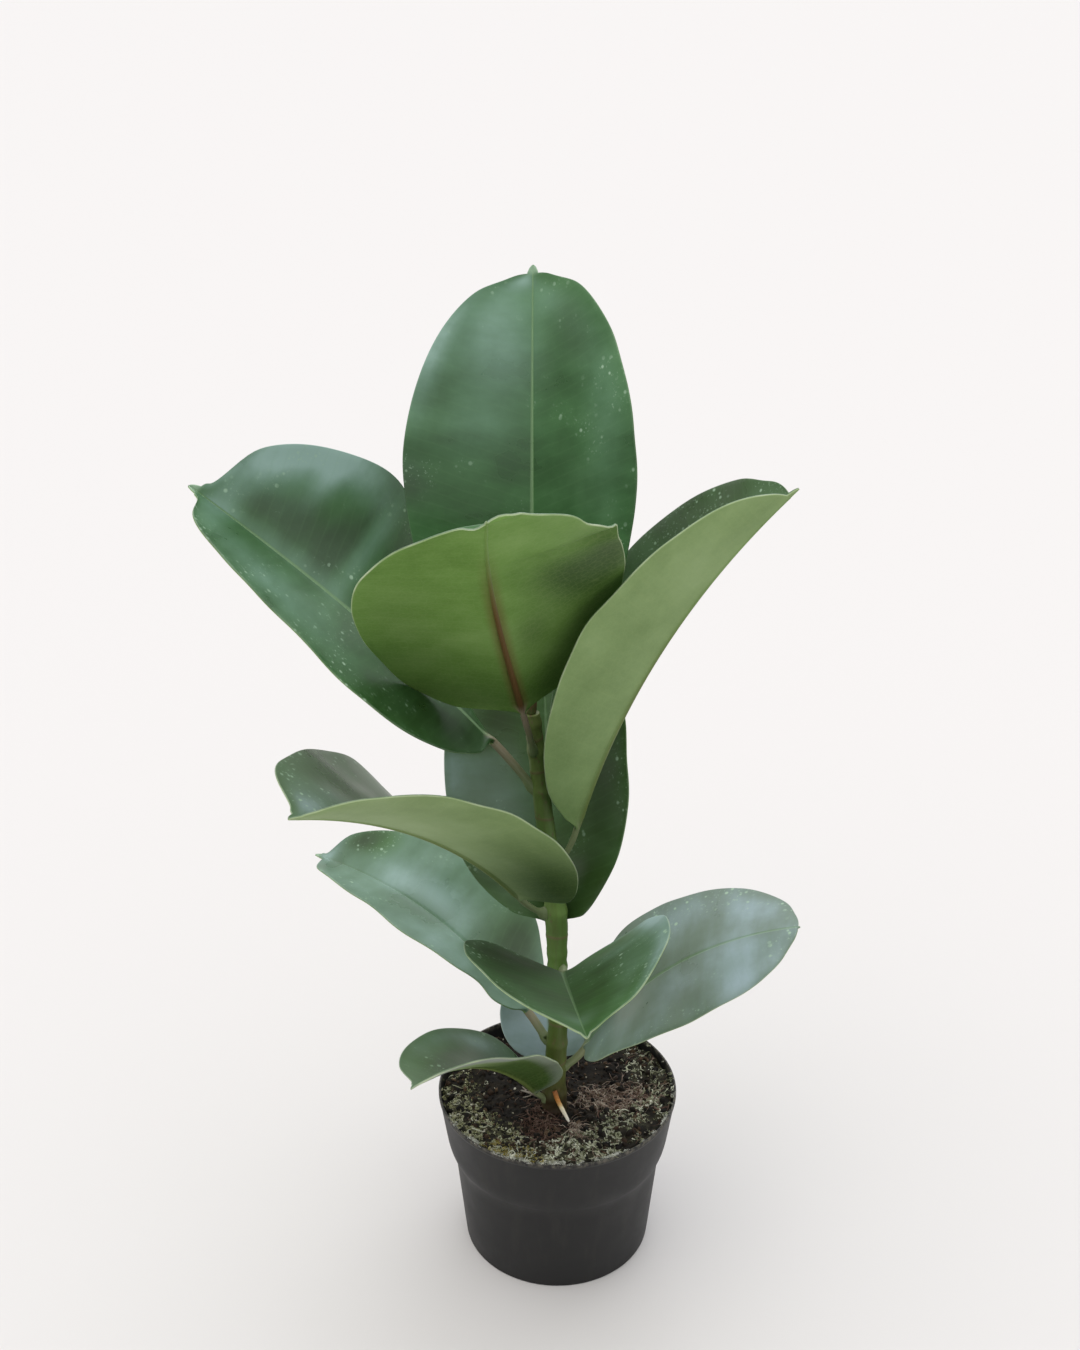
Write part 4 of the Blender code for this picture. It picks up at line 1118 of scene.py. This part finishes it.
def halfSection(leaf, seed, waves, row, sign):
    # one half of a ring: its upper and lower points, their place across, distance to the margin, share of the
    # midrib and share across
    centre, side, up, share, seat = row
    thick = leafMake["thickness"] / 2
    stalk = leaf.get("stalk", leafMake["petioleRadius"])
    blade = float(smoothStep(0, 0.045, share))
    width = max(sideWidth(leaf, share, sign), 0.25) if share > 0 else stalk
    # places from the midrib out to the margin: close together at the rib and at the margin
    ribPoints, rimPoints = leafMake["ribPoints"], leafMake["rimPoints"]
    margin = min(thick, 0.45 * width)
    ribHalf = min(stalk * (1 - 0.7 * share), 0.4 * width)
    inner = ribHalf * 1.6 * np.arange(ribPoints) / (ribPoints - 1)
    outer = np.linspace(inner[-1], width - margin, leafMake["halfPoints"] - ribPoints - rimPoints + 2)[1:]
    rim = width - margin + margin * np.sin(np.pi / 2 * np.arange(1, rimPoints + 1) / rimPoints)
    places = np.concatenate([inner, outer, rim])
    outness = places / width
    # lift by the fold and the curl
    droop = sum(degrees * math.exp(-(((share - middle) / reach) ** 2))
                for half, middle, reach, degrees in leaf.get("sag", ()) if half == sign)
    fold = math.radians(leaf["fold"] + (leaf["foldTip"] - leaf["fold"]) * share + droop)
    angle = fold + math.radians(leaf["curl"]) * (places[1:] + places[:-1]) / 2 / width
    x = np.concatenate([[0], np.cumsum(np.diff(places) * np.cos(angle))])
    y = np.concatenate([[0], np.cumsum(np.diff(places) * np.sin(angle))])
    slope = np.concatenate([[0.0], angle])
    slope[:ribPoints] *= np.arange(ribPoints) / (ribPoints - 1)
    # thickness, with the midrib as a ridge below and a groove above
    body = thick * np.sqrt(np.clip(1 - np.clip((places - (width - margin)) / margin, 0, 1) ** 2, 0, 1))
    bump = np.sqrt(np.clip(1 - (places / (ribHalf * 1.15)) ** 2, 0, 1))
    room = min(1, width / (3 * stalk))
    ridge = leafMake["ribHeight"] * (1 - 0.85 * share) * room * bump
    groove = leafMake["ribGroove"] * (1 - 0.6 * share) * room * np.exp(-((places / (ribHalf * 0.7)) ** 2))
    # the stalk is a round section in the same order of points
    radius = stalk + (leafMake["seatRadius"] - stalk) * seat
    turn = np.pi / 2 * np.arange(len(places)) / (len(places) - 1)
    flat = radius * np.sin(turn)
    tall = radius * (1 + 0.5 * seat) * np.cos(turn)
    x = flat + (x - flat) * blade
    over = tall + (body - groove - tall) * blade
    under = tall + (body + ridge - tall) * blade
    slope = slope * blade
    lift = bladeLift(leaf, share, outness, width, sign, waves, seed) * blade * min(1, width / 15)
    normal = up * np.cos(slope)[:, None] - side * sign * np.sin(slope)[:, None]
    spine = centre + side * sign * x[:, None] + up * (y * blade)[:, None] + normal * lift[:, None]
    return {
        "over": spine + normal * over[:, None], "under": spine - normal * under[:, None],
        "across": sign * places, "edge": width - places if share > 0.012 else np.full(len(places), 30.0),
        "rib": np.clip(1.5 - places / max(ribHalf, 0.05), 0, 1) * float(smoothStep(0.0, 0.02, share)),
        # eased over the midrib, so that a patch doesn't break there
        "eased": sign * outness * smoothStep(0, 0.03, share),
    }


def buildLeaf(name, leaf, materials, seed):
    dice = random.Random(seed)
    waves = [(dice.uniform(0.6, 1.6), dice.uniform(0, 6.28), dice.uniform(0, 6.28)) for _ in range(3)]
    points, rings = [], []
    rows = leafRings(leaf)
    for i, row in enumerate(rows):
        left, right = (halfSection(leaf, seed, waves, row, sign) for sign in (-1, 1))

        def around(first, second):
            # one value of each half in the order of the ring: over the top from left to right, back underneath
            return np.concatenate([left[first][::-1], right[first][1:],
                                   right[second][-2::-1], left[second][1:-1]])

        points.append(around("over", "under"))
        across, edge, rib, eased = (around(key, key) for key in ("across", "edge", "rib", "eased"))
        share, size = row[3], len(across)
        nearRib = 1 - smoothStep(2.0, 4.5, np.abs(across)) if share > 0 else np.ones(size)
        rings.append({
            "alongMm": np.full(size, share * leaf["length"]), "acrossMm": across, "edgeMm": edge, "rib": rib,
            "stalk": (1 - float(smoothStep(0.0, 0.05, share))) * nearRib,
            "stalkWay": np.full(size, min(1.0, max(0, i - 1) / leafMake["petioleRings"])),
            "tip": np.full(size, leaf.get("tip", 0.0) * float(smoothStep(0.965, 0.985, share))),
            # the waxy film with its painted sheen in patches, and patches of painted shade
            "bloom": np.clip(leaf["bloom"] + patches(leaf, "film", share, eased), 0, 1.4),
            "deep": np.clip(patches(leaf, "deep", share, eased), 0, 1),
            "dots": np.clip(patches(leaf, "dots", share, eased), 0, 1),
        })
    faces = [face[::-1] for face in stackFaces(len(rings), size)]
    # the upper skin on the first half of each ring, the underside on the rest and on both ends
    faceMaterials = np.tile(np.where(np.arange(size) < size // 2, 0, 1), len(rings) - 1)
    values = {key: np.concatenate([ring[key] for ring in rings]) for key in rings[0]}
    values.update({key: np.full(len(rings) * size, float(leaf.get(key, 0)))
                   for key in ("warm", "aged", "rim", "dull", "shaded", "faint", "ash")})
    addPiece("foliage_" + name[5:], settleInBox(np.concatenate(points), name, rows[0][0]), faces, materials,
             name, np.append(faceMaterials, [1, 1]), values)


def readValues(add, names):
    # what the mesh knows about each of its points
    return {key: add("Attribute", output="Fac", attribute_name=key) for key in names.split()}


def veinPattern(add, place, read, half):
    # side veins every 5.2 mm that run out and slightly forward; 1 on a vein, 0 between
    outward = add("Math", (read["acrossMm"],), operation="ABSOLUTE")
    lean = add("Math", (outward, -0.32, read["alongMm"]), operation="MULTIPLY_ADD")
    wobble = add("TexNoise", (place, 45, 2))
    shifted = add("Math", (wobble, 3.4, lean), operation="MULTIPLY_ADD")
    wave = add("Math", (shifted, 2.6), operation="PINGPONG")
    return add("MapRange", (wave, 0, half, 1, 0), interpolation_type="SMOOTHSTEP")


def stalkColour(add, read, blade):
    # the leaf stalk: olive green where it leaves the stem, pink-brown towards the blade of a young leaf
    reach = add("MapRange", (read["stalkWay"], 0.15, 0.8))
    pink = add("Math", (read["warm"], reach), operation="MULTIPLY")
    stalk = add("Mix", (pink, "#78855e", "#9b8a78"), data_type="RGBA")
    return add("Mix", (read["stalk"], blade, stalk), data_type="RGBA")


def marginLine(add, place, read, blade, colour, reach, weakest):
    # a translucent hairline along the margin, uneven in strength and lost near the stalk
    line = add("MapRange", (read["edgeMm"], reach * 0.3, reach, 1, 0))
    uneven = add("MapRange", (add("TexNoise", (place, 70, 2)), 0.35, 0.65, weakest, 0.95))
    start = add("MapRange", (read["alongMm"], 4, 26))
    for share in (uneven, read["rim"], start):
        line = add("Math", (line, share), operation="MULTIPLY")
    return add("Mix", (line, blade, colour), data_type="RGBA")


def leafUpperMaterial():
    # living leaf with a waxed cuticle: deep green, a soft broad gloss, fine parallel veins, pale midrib, with
    # painted sheen and painted shade in patches
    made, add, place = startMaterial("waxedLeafUpper")
    read = readValues(add, "alongMm acrossMm edgeMm rib bloom deep dull warm aged rim dots tip stalk stalkWay "
                           "faint")
    # mottle: clouds of 42 mm, and streaks that run out along the side veins every 12 mm
    cloud = add("TexNoise", (place, 24, 5, 0.55))
    lengthwise = add("Math", (read["alongMm"], 0.085), operation="MULTIPLY")
    crosswise = add("Math", (read["acrossMm"], 0.02), operation="MULTIPLY")
    bladePlace = add("CombineXYZ", (lengthwise, crosswise, read["warm"]))
    streak = add("TexNoise", (bladePlace, 1, 3, 0.5))
    mostly = add("Math", (cloud, 1.35), operation="MULTIPLY")
    mottle = add("Math", (streak, 0.65, mostly), operation="MULTIPLY_ADD")
    halved = add("Math", (mottle, 0.5), operation="MULTIPLY")
    colour = add("ValToRGB", (halved,), ramp={0.34: "#20481b", 0.5: "#2f6127", 0.66: "#44773a"})
    olive = add("Math", (read["aged"], 0.6), operation="MULTIPLY")
    # painted shade: a darker green where the blade lies in shadow
    paintedShadeShare = add("Math", (read["deep"], 0.8), operation="MULTIPLY", use_clamp=True)
    paintedShadeColour = add("Mix", (read["aged"], "#182f0c", "#2e3a19"), data_type="RGBA")
    # a thin waxy film with painted sheen: grey-green where it is thin and blue-grey where it is thick, broken by
    # the mottle; its patches are painted reflections of the bright surroundings
    spread = add("MapRange", (mottle, 0.76, 1.24, -0.3, 0.3))
    lively = add("Math", (read["bloom"], 0.5, 0.27), operation="MULTIPLY_ADD")
    broken = add("Math", (spread, lively, read["bloom"]), operation="MULTIPLY_ADD")
    film = add("Math", (broken, 0.72), operation="MULTIPLY", use_clamp=True)
    youngWaxSheen = add("ValToRGB", (film,), ramp={0.15: "#6b9374", 0.5: "#7ca18c", 0.9: "#95b5a6"})
    agedWaxSheen = add("ValToRGB", (film,), ramp={0.15: "#73806e", 0.5: "#82918d", 0.9: "#9db0b9"})
    waxSheenColour = add("Mix", (read["aged"], youngWaxSheen, agedWaxSheen), data_type="RGBA")
    vein = veinPattern(add, place, read, 0.8)
    veinTint = add("Math", (vein, 0.05), operation="MULTIPLY")
    # dried water: soft pale specks, one in each cell of 3 mm at most, and fine dust of 1.6 mm and less
    cells = add("TexVoronoi", {"Vector": place, "Scale": 330, "Randomness": 1.0}).node.outputs
    size = add("MapRange", (add("SeparateColor", (cells["Color"],)), 0.3, 1, 0, 0.42))
    dotEdge = add("Math", (size, cells["Distance"]), operation="SUBTRACT")
    dot = add("MapRange", (dotEdge, 0, 0.16))
    dust = add("MapRange", (add("TexNoise", (place, 620, 3, 0.6)), 0.6, 0.74, 0, 0.7))
    spots = add("Math", (dot, dust), operation="MAXIMUM")
    # they gather in patches of 21 mm, thicker towards the margin
    patch = add("TexNoise", (place, 48, 3))
    nearEdge = add("MapRange", (read["edgeMm"], 0, 20, 0.03, -0.06))
    dotted = add("Math", (read["dots"], 0.17, nearEdge), operation="MULTIPLY_ADD")
    patchy = add("Math", (patch, dotted), operation="ADD")
    speck = add("Math", (spots, add("MapRange", (patchy, 0.52, 0.68))), operation="MULTIPLY")
    speckTint = add("Math", (speck, 0.78), operation="MULTIPLY")
    # pale midrib, weaker on an old leaf
    ribLine = add("MapRange", (read["rib"], 0.3, 1, 0, 0.85))
    weaker = add("Math", (read["aged"], -0.6, 1), operation="MULTIPLY_ADD")
    fading = add("Math", (weaker, read["faint"]), operation="SUBTRACT", use_clamp=True)
    ribShare = add("Math", (ribLine, fading), operation="MULTIPLY")
    for share, top in ((olive, "#4d5f30"), (paintedShadeShare, paintedShadeColour), (film, waxSheenColour), (veinTint, "#6b9560"),
                       (speckTint, "#a9c6a9"), (ribShare, "#7f9f72"), (read["tip"], "#92b091")):
        colour = add("Mix", (share, colour, top), data_type="RGBA")
    colour = marginLine(add, place, read, stalkColour(add, read, colour), "#a3b39a", 0.5, 0.3)
    # wax in good repair shines, worn or dusty wax is dull
    rough = add("MapRange", (mottle, 0.76, 1.24, 0.26, 0.42))
    duller = add("Math", (read["dull"], rough), operation="ADD")
    # the blade swells a little between the veins, over a grain of 1.7 mm
    grain = add("Math", (add("TexNoise", (place, 600, 2)), 0.12), operation="MULTIPLY")
    swell = add("Math", (vein, -0.3, grain), operation="MULTIPLY_ADD")
    return finishMaterial(made, {"Base Color": colour, "Roughness": duller, "IOR": 1.46}, (swell, 0.08, 0.35))


def leafUnderMaterial():
    # the leaf's underside: matt light yellow-green, netted veins, a raised midrib, red-brown on young leaves,
    # painted shade on the leaves marked shaded
    made, add, place = startMaterial("mattLeafUnderside")
    read = readValues(add, "alongMm acrossMm edgeMm rib warm aged rim stalk stalkWay deep shaded ash")
    cloud = add("TexNoise", (place, 26, 4, 0.6))  # clouds of 38 mm
    colour = add("ValToRGB", (cloud,), ramp={0.3: "#5a7f34", 0.5: "#6a8f43", 0.72: "#7b9d55"})
    old = add("ValToRGB", (cloud,), ramp={0.3: "#829766", 0.5: "#8fa373", 0.72: "#9caf82"})
    # painted shade: the deep patches darken the underside of the leaves marked shaded
    paintedShadeReach = add("Math", (read["deep"], 0.93), operation="MULTIPLY", use_clamp=True)
    paintedShadeShare = add("Math", (paintedShadeReach, read["shaded"]), operation="MULTIPLY")
    # the net of small veins, under 1 mm on a leaf, is drawn with meshes of 2.4 mm so that it shows
    net = add("TexVoronoi", {"Vector": place, "Scale": 420}, feature="DISTANCE_TO_EDGE")
    netting = add("MapRange", (net, 0, 0.12, 0.08, 0))
    vein = veinPattern(add, place, read, 0.9)
    veinTint = add("Math", (vein, 0.04), operation="MULTIPLY")
    # the red-brown of a young midrib bleeds a little into the blade and fades out towards the tip
    fading = add("MapRange", (read["alongMm"], 70, 145, 1, 0), interpolation_type="SMOOTHSTEP")
    redness = add("Math", (read["warm"], fading), operation="MULTIPLY")
    outward = add("Math", (read["acrossMm"],), operation="ABSOLUTE")
    bleed = add("MapRange", (outward, 0.8, 5.5, 0.6, 0), interpolation_type="SMOOTHSTEP")
    bleedShare = add("Math", (bleed, redness), operation="MULTIPLY")
    ribColour = add("Mix", (redness, "#66783f", "#5e3c25"), data_type="RGBA")
    ribEnd = add("MapRange", (read["alongMm"], 100, 150, 0.8, 0.2))
    ribLine = add("Math", (add("MapRange", (read["rib"], 0.35, 0.8)), ribEnd), operation="MULTIPLY")
    for share, top in ((read["aged"], old), (paintedShadeShare, "#2d4814"), (netting, "#a3b57c"), (veinTint, "#9fb174"),
                       (bleedShare, "#664b29"), (ribLine, ribColour)):
        colour = add("Mix", (share, colour, top), data_type="RGBA")
    colour = stalkColour(add, read, colour)
    # a grey band of wax that an old leaf keeps along its margin, stronger towards the tip
    band = add("MapRange", (read["edgeMm"], 3, 9, 1, 0))
    for share in (add("MapRange", (read["alongMm"], 12, 70, 0.45, 1)), read["ash"]):
        band = add("Math", (band, share), operation="MULTIPLY")
    colour = add("Mix", (band, colour, "#8b938a"), data_type="RGBA")
    colour = marginLine(add, place, read, colour, "#bac8a2", 0.55, 0.35)
    swell = add("Math", (vein, 0.25, netting), operation="MULTIPLY_ADD")
    return finishMaterial(made, {"Base Color": colour, "Roughness": 0.5, "IOR": 1.38,
                                 "Specular IOR Level": 0.27}, (swell, 0.12, 0.5))


def buildFoliage():
    materials = [leafUpperMaterial(), leafUnderMaterial()]
    for seed, (name, leaf) in enumerate(leafSet.items()):
        buildLeaf(name, leaf, materials, 40 + seed)
    print("foliage:", len(leafSet), "leaves")


buildCamera()
buildStudio()
buildPot()
buildSoil()
buildStem()
buildBud()
buildRoots()
buildFoliage()
